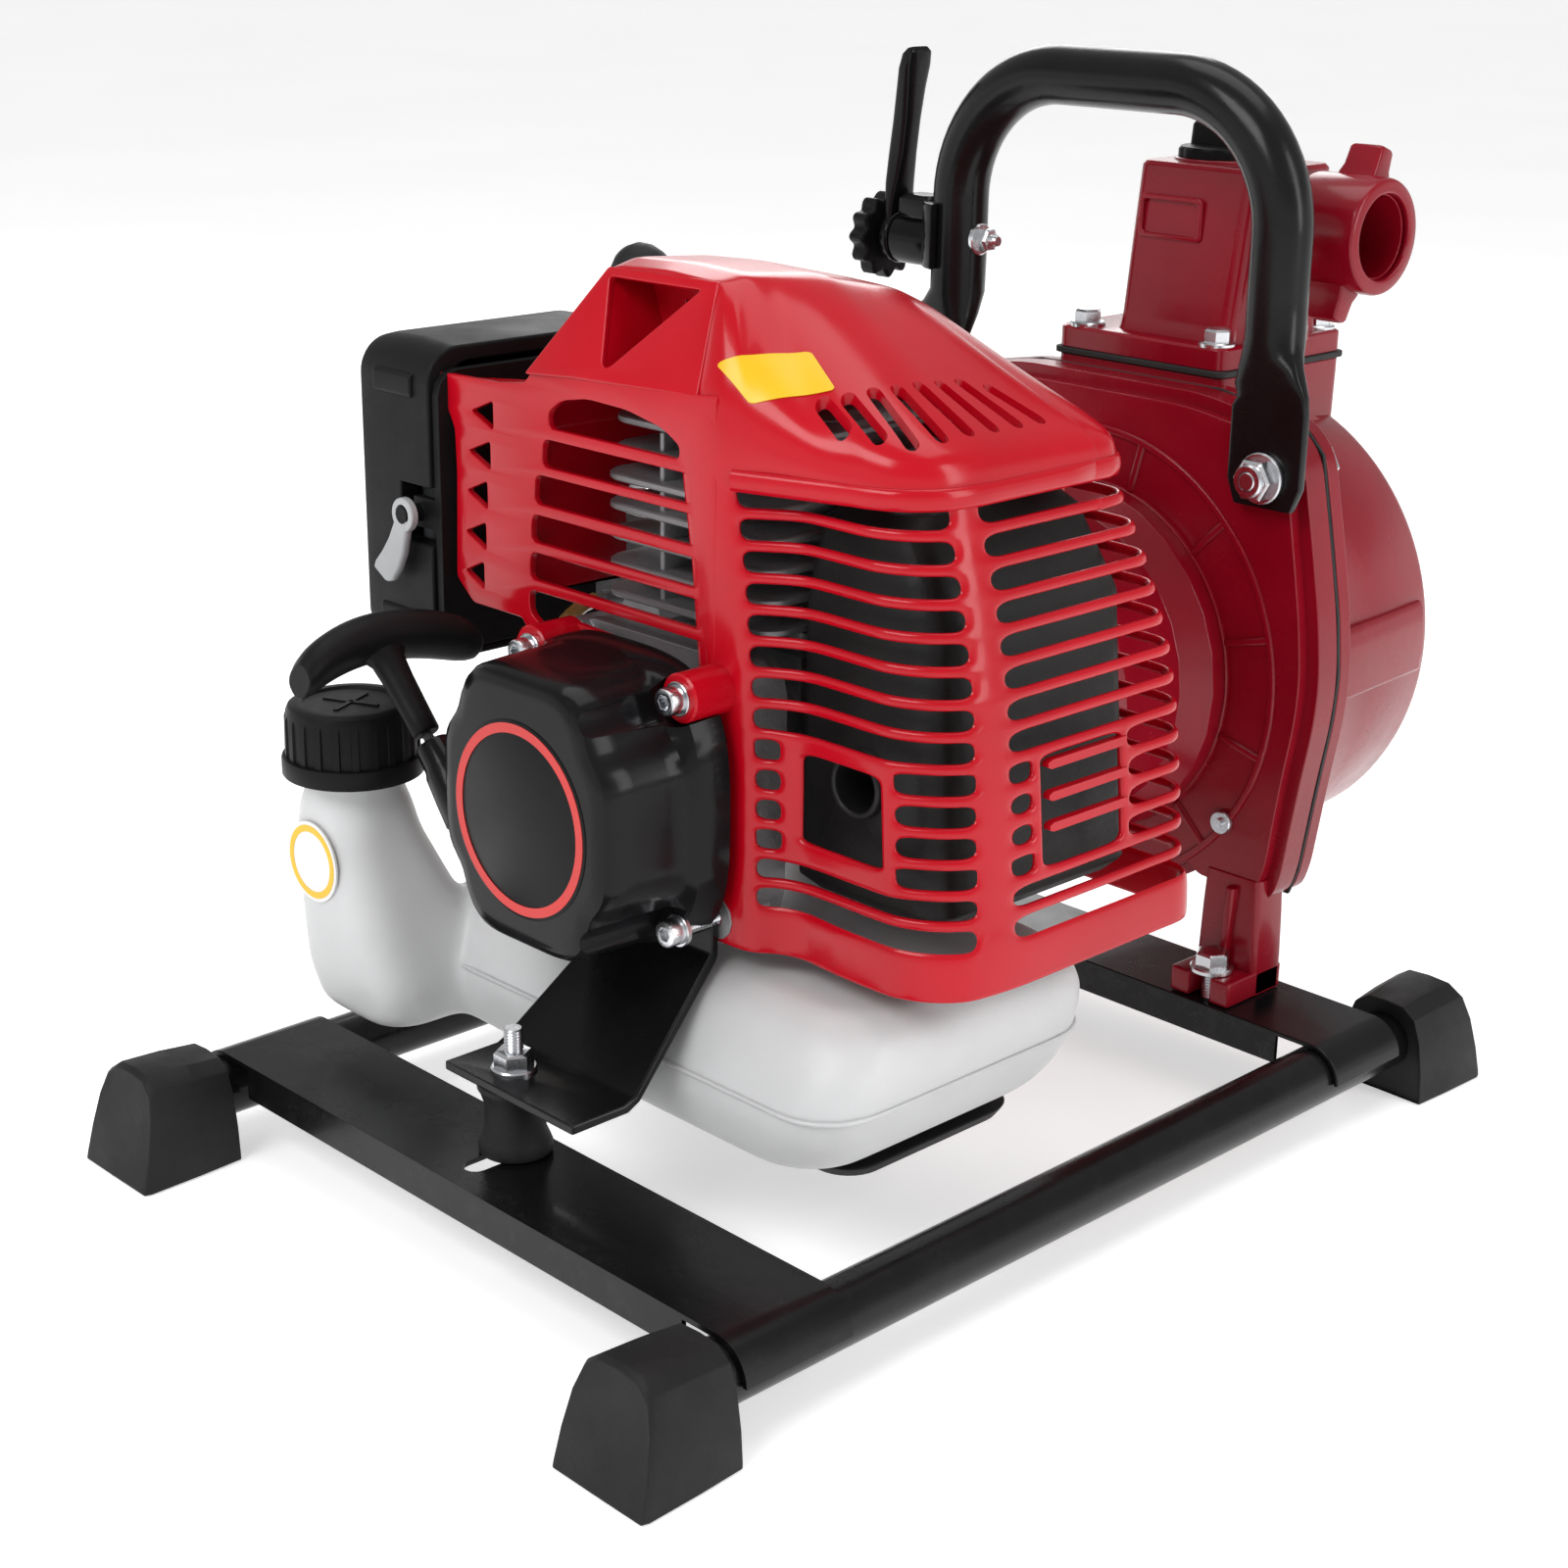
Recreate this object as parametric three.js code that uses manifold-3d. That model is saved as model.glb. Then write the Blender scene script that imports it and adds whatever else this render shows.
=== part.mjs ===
// Portable fire pump: a 43 cc two-stroke petrol engine driving a self-priming
// centrifugal pump, on a tubular skid. Millimetres, +Z up, +Y from the recoil
// starter towards the pump, +X towards the muffler.
import * as THREE from 'three';
import { mergeVertices } from 'three/addons/utils/BufferGeometryUtils.js';
import Module from 'manifold-3d';

const wasm = await Module();
wasm.setup();

// ---------------------------------------------------------------- driving dimensions
const GAP = 0.3; // between neighbours that touch on the real machine
const FINEST = 0.02; // details smaller than this are merged away
const CRANK_Z = 139;
const CYLINDER_Y = -8;

const RAIL_X = 120.5;
const RAIL_Z = 19;
const RAIL_R = 10;
const RAIL_WALL = 1.5;
const RAIL_END = 187;
const FOOT_OUTER_Y = 198;
const FOOT_INNER_Y = 161;
const FOOT_WIDTH = 38;
const FOOT_HEIGHT = 36;

const SHEET = 1.7;
const SADDLE_INNER = RAIL_R + GAP;
const SADDLE_OUTER = SADDLE_INNER + SHEET;
const CROSSBAR_TOP = RAIL_Z + SADDLE_OUTER;
const FRONT_BAR_Y = [-155, -114.5];
const REAR_BAR_Y = [117, 154];

const MOUNT_Y = -127.6; // rubber mount under the engine
const TAB_Z = [55.3, 58.3];

const STARTER_CENTRE_Z = 141;
const STARTER_FACE_Y = -123.6;
const STARTER_REAR_Y = -80;
const BOLT_X = 34;
const BOLT_LOW_Z = 104;
const BOLT_HIGH_Z = 176;
const BOLT_SEAT_Y = -92;

const HOOD_FRONT_Y = -76;
const CAGE_REAR_Y = 50;
const WALL = 2.5;

const CASE_FRONT_Y = 133;
const CASE_REAR_Y = 150;
const COVER_Y = [152, 158];
const DRUM_REAR_Y = 226;
const SUCTION_END_Y = 246;
const SUCTION_R = 16.6;
const SUCTION_BORE_R = 13.7;

const TOWER_Y = 190;
const PORT_Z = 289;
const PORT_END_X = 72;
const PORT_BORE_R = 13.7;

const HANDLE_Y = 138;
const HANDLE_X = 70;
const HANDLE_TOP_Z = 338;
const HANDLE_R = 10;
const HANDLE_BEND = 45;

const HANDLE_BOLT = { x: 75.5, z: 216 };
const FOOT_BOLT = { x: 71.5, y: 126 };

const BBOX_CENTRE_Y = (SUCTION_END_Y - FOOT_OUTER_Y) / 2;

// ---------------------------------------------------------------- solid helpers
function toSolid(geometry) {
  const bare = geometry.clone();
  bare.deleteAttribute('normal');
  bare.deleteAttribute('uv');
  const merged = mergeVertices(bare, 1e-4);
  const position = merged.attributes.position;
  const index = merged.index.array;
  const triangles = [];
  let volume = 0;
  const [a, b, c] = [new THREE.Vector3(), new THREE.Vector3(), new THREE.Vector3()];
  for (let i = 0; i < index.length; i += 3) {
    const [p, q, r] = [index[i], index[i + 1], index[i + 2]];
    if (p === q || q === r || r === p) continue;
    triangles.push([p, q, r]);
    a.fromBufferAttribute(position, p);
    b.fromBufferAttribute(position, q);
    c.fromBufferAttribute(position, r);
    volume += a.dot(b.cross(c));
  }
  if (volume < 0) triangles.forEach((triangle) => triangle.reverse());
  return new wasm.Manifold(new wasm.Mesh({
    numProp: 3,
    vertProperties: new Float32Array(position.array),
    triVerts: new Uint32Array(triangles.flat()),
  }));
}

function toGeometry(solid) {
  const mesh = solid.asOriginal().simplify(FINEST).getMesh();
  const geometry = new THREE.BufferGeometry();
  geometry.setAttribute('position', new THREE.BufferAttribute(mesh.vertProperties, 3));
  geometry.setIndex(new THREE.BufferAttribute(mesh.triVerts, 1));
  geometry.computeVertexNormals();
  return geometry;
}

function join(...solids) {
  return solids.reduce((whole, next) => whole.add(next));
}

function cut(body, ...tools) {
  return tools.reduce((rest, tool) => rest.subtract(tool), body);
}

function box(x, y, z) {
  const geometry = new THREE.BoxGeometry(x[1] - x[0], y[1] - y[0], z[1] - z[0]);
  geometry.translate((x[0] + x[1]) / 2, (y[0] + y[1]) / 2, (z[0] + z[1]) / 2);
  return toSolid(geometry);
}

// Basis matrices that stand a shape drawn in x, y with depth z along each axis.
const PRISM_BASIS = {
  x: [[0, 1, 0], [0, 0, 1], [1, 0, 0]],
  y: [[1, 0, 0], [0, 0, 1], [0, -1, 0]],
  z: [[1, 0, 0], [0, 1, 0], [0, 0, 1]],
};

// Outline points are (y, z) for axis x, (x, z) for axis y and (x, y) for axis z.
function prism(outline, axis, from, to) {
  const shape = Array.isArray(outline)
    ? new THREE.Shape(outline.map(([u, v]) => new THREE.Vector2(u, v)))
    : outline;
  const options = { depth: to - from, bevelEnabled: false, curveSegments: 12 };
  const geometry = new THREE.ExtrudeGeometry(shape, options);
  const basis = PRISM_BASIS[axis].map((column) => new THREE.Vector3(...column));
  geometry.applyMatrix4(new THREE.Matrix4().makeBasis(...basis));
  const shift = { x: [from, 0, 0], y: [0, to, 0], z: [0, 0, from] }[axis];
  geometry.translate(...shift);
  return toSolid(geometry);
}

// Turned solid: profile points are (radius, distance along the axis).
function turned(profile, axis, centre, segments = 24) {
  const points = profile.map(([r, h]) => new THREE.Vector2(r, h));
  const geometry = new THREE.LatheGeometry(points, segments);
  if (axis === 'x') geometry.rotateZ(-Math.PI / 2);
  if (axis === 'z') geometry.rotateX(Math.PI / 2);
  geometry.translate(...centre);
  return toSolid(geometry);
}

function rod(axis, radius, from, to, centre, segments = 24) {
  return turned([[0, from], [radius, from], [radius, to], [0, to]], axis, centre, segments);
}

function ring(axis, inner, outer, from, to, centre, segments = 24) {
  const profile = [[inner, from], [outer, from], [outer, to], [inner, to], [inner, from]];
  return turned(profile, axis, centre, segments);
}

function rodBetween(start, end, radiusStart, radiusEnd, segments = 16) {
  const from = new THREE.Vector3(...start);
  const along = new THREE.Vector3(...end).sub(from);
  const geometry = new THREE.CylinderGeometry(radiusEnd, radiusStart, along.length(), segments);
  geometry.translate(0, along.length() / 2, 0);
  const turn = new THREE.Quaternion().setFromUnitVectors(
    new THREE.Vector3(0, 1, 0), along.clone().normalize());
  geometry.applyQuaternion(turn);
  geometry.translate(...start);
  return toSolid(geometry);
}

// Skin through sections with equal point counts, closed by a fan at each end.
function loft(sections) {
  const count = sections[0].length;
  const vertices = sections.flat();
  const faces = [];
  for (let s = 0; s + 1 < sections.length; s += 1) {
    for (let i = 0; i < count; i += 1) {
      const j = (i + 1) % count;
      const [a, b] = [s * count + i, s * count + j];
      faces.push([a, b, b + count], [a, b + count, a + count]);
    }
  }
  [0, sections.length - 1].forEach((s) => {
    const section = sections[s];
    const middle = [0, 1, 2].map((k) => section.reduce((sum, p) => sum + p[k], 0) / count);
    const hub = vertices.push(middle) - 1;
    for (let i = 0; i < count; i += 1) {
      const [a, b] = [s * count + i, s * count + (i + 1) % count];
      faces.push(s === 0 ? [hub, b, a] : [hub, a, b]);
    }
  });
  const geometry = new THREE.BufferGeometry();
  const positions = new THREE.Float32BufferAttribute(vertices.flat(), 3);
  geometry.setAttribute('position', positions);
  geometry.setIndex(faces.flat());
  return toSolid(geometry);
}

function arcPoints(cx, cy, radius, startDeg, endDeg, steps) {
  const points = [];
  for (let i = 0; i <= steps; i += 1) {
    const angle = THREE.MathUtils.degToRad(startDeg + (endDeg - startDeg) * i / steps);
    points.push([cx + radius * Math.cos(angle), cy + radius * Math.sin(angle)]);
  }
  return points;
}

function roundedRect(x, y, radius, steps = 3) {
  return [
    ...arcPoints(x[1] - radius, y[1] - radius, radius, 0, 90, steps),
    ...arcPoints(x[0] + radius, y[1] - radius, radius, 90, 180, steps),
    ...arcPoints(x[0] + radius, y[0] + radius, radius, 180, 270, steps),
    ...arcPoints(x[1] - radius, y[0] + radius, radius, 270, 360, steps),
  ];
}

function slab(x, y, radius, z) {
  return prism(roundedRect(x, y, radius), 'z', z[0], z[1]);
}

// Sections of a rounded block that narrows or shifts as it rises.
function roundedStack(levels, radius) {
  return loft(levels.map(([z, x, y]) => roundedRect(x, y, radius).map(([u, v]) => [u, v, z])));
}

function hexagon(cx, cy, radius) {
  return arcPoints(cx, cy, radius, 0, 300, 5);
}

// ---------------------------------------------------------------- finishes
const FINISHES = {
  blackPaint: { color: 0x141415, roughness: 0.28, metalness: 0.3 },
  blackRubber: { color: 0x1b1b1b, roughness: 0.85, metalness: 0 },
  blackPlastic: { color: 0x101011, roughness: 0.3, metalness: 0 },
  mattePlastic: { color: 0x1e1f20, roughness: 0.6, metalness: 0 },
  greyPlastic: { color: 0x8d8f91, roughness: 0.4, metalness: 0 },
  redPlastic: { color: 0xc4101e, roughness: 0.2, metalness: 0 },
  redPaint: { color: 0x8c0f1c, roughness: 0.32, metalness: 0.2 },
  zinc: { color: 0xb9bcc0, roughness: 0.3, metalness: 1 },
  steel: { color: 0x9c9ea2, roughness: 0.35, metalness: 1 },
  castAluminium: { color: 0x8e9092, roughness: 0.55, metalness: 0.9 },
  blackSteel: { color: 0x0e0e0f, roughness: 0.5, metalness: 0.6 },
  tankPlastic: { color: 0xe4e5e6, roughness: 0.45, metalness: 0 },
  foam: { color: 0x35383b, roughness: 0.95, metalness: 0 },
  brassHose: { color: 0x8a6a3c, roughness: 0.4, metalness: 0 },
  gasket: { color: 0x121212, roughness: 0.8, metalness: 0 },
  rope: { color: 0x2a2a2c, roughness: 0.9, metalness: 0 },
};

const pump = new THREE.Group();

function addPart(name, solid, finish) {
  const mesh = new THREE.Mesh(toGeometry(solid), new THREE.MeshStandardMaterial(FINISHES[finish]));
  mesh.name = name;
  pump.add(mesh);
}

// ---------------------------------------------------------------- skid frame
function sideRail(x) {
  const centre = [x, 0, RAIL_Z];
  return cut(
    rod('y', RAIL_R, -RAIL_END, RAIL_END, centre),
    rod('y', RAIL_R - RAIL_WALL, -RAIL_END - 1, RAIL_END + 1, centre, 16),
  );
}

// Pressed sheet with a half-round saddle over each rail and two turned-down edges.
function crossbar([yFrom, yTo]) {
  const sheet = new THREE.Shape();
  sheet.absarc(RAIL_X, RAIL_Z, SADDLE_OUTER, 0, Math.PI / 2, false);
  sheet.absarc(-RAIL_X, RAIL_Z, SADDLE_OUTER, Math.PI / 2, Math.PI, false);
  sheet.absarc(-RAIL_X, RAIL_Z, SADDLE_INNER, Math.PI, Math.PI / 2, true);
  sheet.absarc(RAIL_X, RAIL_Z, SADDLE_INNER, Math.PI / 2, 0, true);
  const lipX = [-RAIL_X + 14, RAIL_X - 14];
  const lipZ = [RAIL_Z, CROSSBAR_TOP - 0.4];
  return join(
    prism(sheet, 'y', yFrom, yTo),
    box(lipX, [yFrom, yFrom + SHEET], lipZ),
    box(lipX, [yTo - SHEET, yTo], lipZ),
  );
}

// Moulded cap: flat underneath, arched on top, its outer end leaning inwards.
function foot(side, end) {
  const arch = (width, height) => [
    [-width / 2, 0],
    [width / 2, 0],
    [width / 2, height * 0.3],
    ...arcPoints(0, height - 16, 16, 10, 170, 8),
    [-width / 2, height * 0.3],
  ];
  const section = (y, lean, width, height) => arch(width, height).map(
    ([x, z]) => [side * RAIL_X + x, end * (y - lean * z), z]);
  const body = loft([
    section(FOOT_INNER_Y, 0, FOOT_WIDTH - 3, FOOT_HEIGHT - 2),
    section(FOOT_INNER_Y + 16, 0.1, FOOT_WIDTH - 1, FOOT_HEIGHT - 0.5),
    section(FOOT_OUTER_Y, 0.22, FOOT_WIDTH, FOOT_HEIGHT),
  ]);
  const depth = [FOOT_INNER_Y - 1, RAIL_END + GAP].map((y) => end * y).sort((a, b) => a - b);
  return cut(body, rod('y', RAIL_R + GAP, depth[0], depth[1], [side * RAIL_X, 0, RAIL_Z]));
}

addPart('side_rail_left', sideRail(-RAIL_X), 'blackPaint');
addPart('side_rail_right', sideRail(RAIL_X), 'blackPaint');
addPart('crossbar_front', cut(
  crossbar(FRONT_BAR_Y),
  slab([-4, 4], [-147, -118], 3.9, [CROSSBAR_TOP - 3, CROSSBAR_TOP + 1]),
), 'blackPaint');
addPart('crossbar_rear', cut(
  crossbar(REAR_BAR_Y),
  ...[-1, 1].map((side) => rod(
    'z', 3.9, CROSSBAR_TOP - 3, CROSSBAR_TOP + 1, [side * FOOT_BOLT.x, FOOT_BOLT.y, 0], 12)),
), 'blackPaint');
addPart('foot_front_left', foot(-1, -1), 'blackRubber');
addPart('foot_front_right', foot(1, -1), 'blackRubber');
addPart('foot_rear_left', foot(-1, 1), 'blackRubber');
addPart('foot_rear_right', foot(1, 1), 'blackRubber');

// ---------------------------------------------------------------- engine mount
const STUD_R = 3;
addPart('isolator_mount', turned([
  [0, CROSSBAR_TOP + GAP], [11, CROSSBAR_TOP + GAP], [11.5, 34], [9.4, 38], [9.4, 49],
  [11.5, 53], [11, 55], [STUD_R, 55], [STUD_R, 72], [0, 72],
], 'z', [0, MOUNT_Y, 0]), 'blackRubber');
addPart('isolator_nut', cut(
  join(
    prism(hexagon(0, MOUNT_Y, 5.8), 'z', TAB_Z[1] + 1.6, TAB_Z[1] + 6.6),
    rod('z', 6.4, TAB_Z[1] + GAP, TAB_Z[1] + 1.6, [0, MOUNT_Y, 0]),
  ),
  rod('z', STUD_R + GAP, TAB_Z[0], TAB_Z[1] + 10, [0, MOUNT_Y, 0], 16),
), 'zinc');

function engineBracket() {
  const [low, high] = TAB_Z;
  const web = [
    [-140, low], [-105, low], [-76.7, 91], [-76.7, 114], [-79.7, 114], [-79.7, 92],
    [-106.8, high], [-140, high],
  ];
  return cut(
    prism(web, 'x', -22, 52),
    prism([[-30, -150], [-4, -150], [-30, -124]], 'z', 50, 62),
    prism([[46, -150], [60, -150], [60, -100], [52, -100]], 'z', 50, 62),
    box([-30, -14], [-95, -70], [90, 120]),
    rod('z', STUD_R + GAP, 50, 62, [0, MOUNT_Y, 0], 16),
    rod('y', 3, -90, -70, [BOLT_X, 0, BOLT_LOW_Z], 16),
  );
}
addPart('engine_bracket', engineBracket(), 'blackPaint');

// ---------------------------------------------------------------- engine core
const CRANKCASE_FRONT_Y = -70;
const CRANKCASE_REAR_Y = 44;
const DECK_Z = 177;

function crankcase() {
  const centre = [0, 0, CRANK_Z];
  const posts = [-1, 1].flatMap((side) => [
    rod('y', 7, CRANKCASE_FRONT_Y - 6.4, -60, [side * BOLT_X, 0, BOLT_LOW_Z], 12),
    rod('y', 7, CRANKCASE_FRONT_Y - 3.2, -60, [side * BOLT_X, 0, BOLT_HIGH_Z], 12),
  ]);
  const holes = [-1, 1].flatMap((side) => [BOLT_LOW_Z, BOLT_HIGH_Z].map(
    (z) => rod('y', 2.8, CRANKCASE_FRONT_Y - 10, -56, [side * BOLT_X, 0, z], 8)));
  const body = join(
    prism(roundedRect([-41, 41], [97, 183], 12), 'y', CRANKCASE_FRONT_Y, CRANKCASE_FRONT_Y + 16),
    rod('y', 38, CRANKCASE_FRONT_Y + 16, CRANKCASE_REAR_Y - 8, centre, 24),
    rod('y', 46, CRANKCASE_REAR_Y - 8, CRANKCASE_REAR_Y, centre, 24),
    box([-30, 30], [CYLINDER_Y - 30, CYLINDER_Y + 30], [CRANK_Z, DECK_Z]),
    ...posts,
  );
  return cut(
    body,
    ...holes,
    rod('y', 29.5, CYLINDER_Y - 18, CYLINDER_Y + 18, centre, 24),
    rod('y', 16.5, CYLINDER_Y - 30, CYLINDER_Y + 30, centre, 20),
    rod('y', 10, CRANKCASE_FRONT_Y - 1, CRANKCASE_REAR_Y + 1, centre, 12),
    rod('z', 21, CRANK_Z, DECK_Z + 1, [0, CYLINDER_Y, 0], 24),
  );
}
addPart('crankcase', crankcase(), 'castAluminium');

const CRANKPIN_Z = CRANK_Z + 17;
function crankshaft() {
  const centre = [0, 0, CRANK_Z];
  const webFront = [CYLINDER_Y - 16, CYLINDER_Y - 8];
  const webRear = [CYLINDER_Y + 8, CYLINDER_Y + 16];
  return join(
    rod('y', 7.3, -100, webFront[0], centre, 16),
    rod('y', 27, webFront[0], webFront[1], centre, 28),
    rod('y', 6, webFront[1], webRear[0], [0, 0, CRANKPIN_Z], 16),
    rod('y', 27, webRear[0], webRear[1], centre, 28),
    rod('y', 7.3, webRear[1], 80, centre, 16),
    rod('y', 6, 80, 186, centre, 16),
  );
}
addPart('crankshaft', crankshaft(), 'steel');

const BEARING = { inner: 7.8, outer: 16, width: 11 };
[['bearing_front', CYLINDER_Y - 29.5], ['bearing_rear', CYLINDER_Y + 18.5]].forEach(
  ([name, y]) => addPart(
    name,
    ring('y', BEARING.inner, BEARING.outer, y, y + BEARING.width, [0, 0, CRANK_Z]),
    'steel',
  ));

const WRIST_Z = CRANKPIN_Z + 56;
function piston() {
  const axis = [0, CYLINDER_Y, 0];
  const shell = cut(
    rod('z', 19.6, WRIST_Z - 14, WRIST_Z + 16, axis, 28),
    rod('z', 16.5, WRIST_Z - 15, WRIST_Z + 12, axis, 20),
  );
  return join(shell, rod('y', 5, CYLINDER_Y - 18, CYLINDER_Y + 18, [0, 0, WRIST_Z], 16));
}
addPart('piston', piston(), 'castAluminium');

const HEAD_Z = 246;
const PLUG_START = [-6, CYLINDER_Y - 6, HEAD_Z - 9];
const PLUG_END = [-48, -27, 281];
const BOOT_END = [-57, -30, 288];

function lerp(a, b, t) {
  return a.map((value, k) => value + (b[k] - value) * t);
}

function cylinder() {
  const axis = [0, CYLINDER_Y, 0];
  const fins = [];
  for (let i = 0; i < 7; i += 1) {
    const z = 188 + 9.2 * i;
    const reach = i < 5 ? 38 : 34;
    const y = [CYLINDER_Y - reach + 3, CYLINDER_Y + reach - 3];
    fins.push(slab([-reach, reach], y, 9, [z, z + 2.6]));
  }
  const body = join(
    slab([-27, 27], [CYLINDER_Y - 27, CYLINDER_Y + 27], 5, [DECK_Z + GAP, DECK_Z + 6]),
    rod('z', 25, DECK_Z + GAP, HEAD_Z, axis, 20),
    box([-42, 41.5], [CYLINDER_Y - 12, CYLINDER_Y + 12], [190, 212]),
    ...fins,
  );
  return cut(
    body,
    rod('z', 20, DECK_Z - 1, HEAD_Z - 13, axis, 28),
    rodBetween(lerp(PLUG_START, PLUG_END, -0.35), PLUG_END, 5.6, 5.6, 10),
    rodBetween(lerp(PLUG_START, PLUG_END, 0.12), PLUG_END, 10.8, 10.8, 12),
    rod('x', 8, -50, 50, [0, CYLINDER_Y, 201], 12),
  );
}
addPart('cylinder', cylinder(), 'castAluminium');

addPart('spark_plug', join(
  rodBetween(lerp(PLUG_START, PLUG_END, -0.05), lerp(PLUG_START, PLUG_END, 0.55), 5, 5),
  rodBetween(lerp(PLUG_START, PLUG_END, 0.2), lerp(PLUG_START, PLUG_END, 0.32), 8.6, 8.6, 6),
), 'steel');

function plugBoot() {
  const start = lerp(PLUG_START, PLUG_END, 0.4);
  const geometry = new THREE.SphereGeometry(11.5, 16, 8);
  geometry.translate(...BOOT_END);
  const body = join(rodBetween(start, BOOT_END, 9.5, 11.2, 16), toSolid(geometry));
  const socket = [0.2, 0.6].map((t) => lerp(PLUG_START, PLUG_END, t));
  return cut(body, rodBetween(socket[0], socket[1], 5.4, 5.4));
}
addPart('plug_boot', plugBoot(), 'blackRubber');

// ---------------------------------------------------------------- flywheel and fan housing
const FAN_CENTRE = [0, 0, CRANK_Z];
function flywheel() {
  const blades = [];
  for (let i = 0; i < 12; i += 1) {
    const geometry = new THREE.BoxGeometry(16, 10, 2.4);
    geometry.translate(36, 63, 0);
    geometry.rotateY(i * Math.PI / 6);
    geometry.translate(0, 0, CRANK_Z);
    blades.push(toSolid(geometry));
  }
  return cut(
    join(rod('y', 46, 51, 59, FAN_CENTRE, 36), rod('y', 14, 50, 74, FAN_CENTRE), ...blades),
    rod('y', 7.6, 40, 80, FAN_CENTRE, 16),
  );
}
addPart('flywheel', flywheel(), 'castAluminium');

addPart('ignition_coil', join(
  box([-16, 16], [50, 60], [188, 193]),
  box([-10, 10], [CRANKCASE_REAR_Y + 4 + GAP, 64], [192, 198.5]),
), 'mattePlastic');

addPart('fan_housing', turned([
  [40, CRANKCASE_REAR_Y + GAP], [66, CRANKCASE_REAR_Y + GAP], [66, 78], [60, 84],
  [56, 118], [64, 126], [64, CASE_FRONT_Y - GAP], [50, CASE_FRONT_Y - GAP], [50, 118], [54, 86],
  [62, 76], [62, CRANKCASE_REAR_Y + 4], [40, CRANKCASE_REAR_Y + 4], [40, CRANKCASE_REAR_Y + GAP],
], 'y', FAN_CENTRE, 28), 'castAluminium');

// ---------------------------------------------------------------- engine shroud
// Hood over the cylinder: upright sides, sloping shoulders, crest falling to the rear.
function hoodForm(inset) {
  const levels = [
    [174 - 2 * inset, [-52, 46], [HOOD_FRONT_Y, 46]],
    [248, [-52, 46], [HOOD_FRONT_Y, 44]],
    [258 - inset / 2, [-47, 44], [HOOD_FRONT_Y, 38]],
    [278 - inset / 2, [-31, 38], [HOOD_FRONT_Y + 0.5, 22]],
    [291 - inset, [-21, 31], [HOOD_FRONT_Y + 1, 2]],
    [296 - inset, [-16, 26], [HOOD_FRONT_Y + 6, -22]],
  ];
  return roundedStack(levels.map(([z, x, y]) => [
    z, [x[0] + inset, x[1] - inset], [y[0] + inset, y[1] - inset],
  ]), 7);
}

// Cage over the muffler: plan outline with a broad front corner, narrowing as it rises.
function cageForm(inset) {
  const levels = [
    [96 - 2 * inset, 118, -66, CAGE_REAR_Y],
    [132, 117, -66, CAGE_REAR_Y],
    [165, 114, -65, CAGE_REAR_Y],
    [200, 108, -64, 46],
    [236, 97, -63, 37],
    [245 - inset, 88, -61, 33],
    [253 - inset, 66, -60, 27],
  ];
  return loft(levels.map(([z, xRight, yFront, yRear]) => {
    const [right, front, rear] = [xRight - inset, yFront + inset, yRear - inset];
    const left = 24 + inset;
    return [
      [left, rear],
      [left, HOOD_FRONT_Y + 1 + inset],
      [46 - inset, HOOD_FRONT_Y + 1 + inset],
      [Math.min(57 - inset, right - 27), front],
      ...arcPoints(right - 26, front + 26, 26, -90, -10, 5),
      [right, rear - 8],
      ...arcPoints(right - 7, rear - 7, 7, 30, 90, 2),
    ].map(([x, y]) => [x, y, z]);
  }));
}

// Side flange with a row of triangular lightening holes.
function sideFlange() {
  const outline = [
    [-49, 174], [-82, 174], [-91.5, 184], [-90, 232], [-91.5, 246], [-91.5, 251], [-49, 256],
  ];
  const plate = prism(outline, 'y', HOOD_FRONT_Y, HOOD_FRONT_Y + WALL);
  const holes = [];
  for (let i = 0; i < 5; i += 1) {
    const z = 184 + 13 * i;
    holes.push(prism([[-74, z - 5], [-74, z + 5], [-84, z]], 'y', HOOD_FRONT_Y - 1, -70));
  }
  return cut(plate, ...holes);
}

function shroud() {
  const outer = join(hoodForm(0), cageForm(0));
  const inner = join(
    hoodForm(WALL),
    cageForm(WALL),
    box([20, 44], [HOOD_FRONT_Y + WALL, 42.5], [90, 240]),
  );
  const bosses = [-1, 1].map((side) => rod(
    'y', 7.5, BOLT_SEAT_Y + GAP + 1.5, HOOD_FRONT_Y + WALL, [side * BOLT_X, 0, BOLT_HIGH_Z], 16));
  const boltHoles = [-1, 1].map((side) => rod(
    'y', 3, -95, -70, [side * BOLT_X, 0, BOLT_HIGH_Z], 12));
  const windows = [];
  for (let i = 0; i < 6; i += 1) {
    const z = 181.5 + 12 * i;
    windows.push(box([-46, 22], [-80, -66], [z, z + 8.5]));
  }
  const slots = [];
  for (let i = 0; i < 14; i += 1) {
    const z = 110.8 + 9.2 * i;
    const height = [z, z + 6.4];
    slots.push(
      box([58, 90 - i], [-80, -50], height),
      box([70, 130], [-26, 34], height),
      box([58, 98 - i], [30, 60], height),
    );
  }
  const starterRoom = rod('y', 46, -95, -60, [0, 0, STARTER_CENTRE_Z], 32);
  const shell = join(cut(join(outer, sideFlange()), inner), ...bosses);
  return cut(
    shell,
    ...boltHoles,
    ...windows,
    ...slots,
    starterRoom.subtract(box([20, 60], [-100, -50], [166, 200])),
    box([10, 42], [-80, -60], [90, 166]),
    box([10, 30], [40, 60], [90, 190]),
    rod('y', 67.5, 43, 60, FAN_CENTRE, 40),
    box([-60, -49], [-55, 50], [160, 236]),
    prism([[-15, 287], [21, 287], [-14, 264]], 'y', -90, -60),
    rodBetween(lerp(PLUG_START, PLUG_END, 0.1), lerp(PLUG_START, PLUG_END, 2), 13.5, 13.5, 20),
  );
}
addPart('engine_shroud', shroud(), 'redPlastic');

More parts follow.
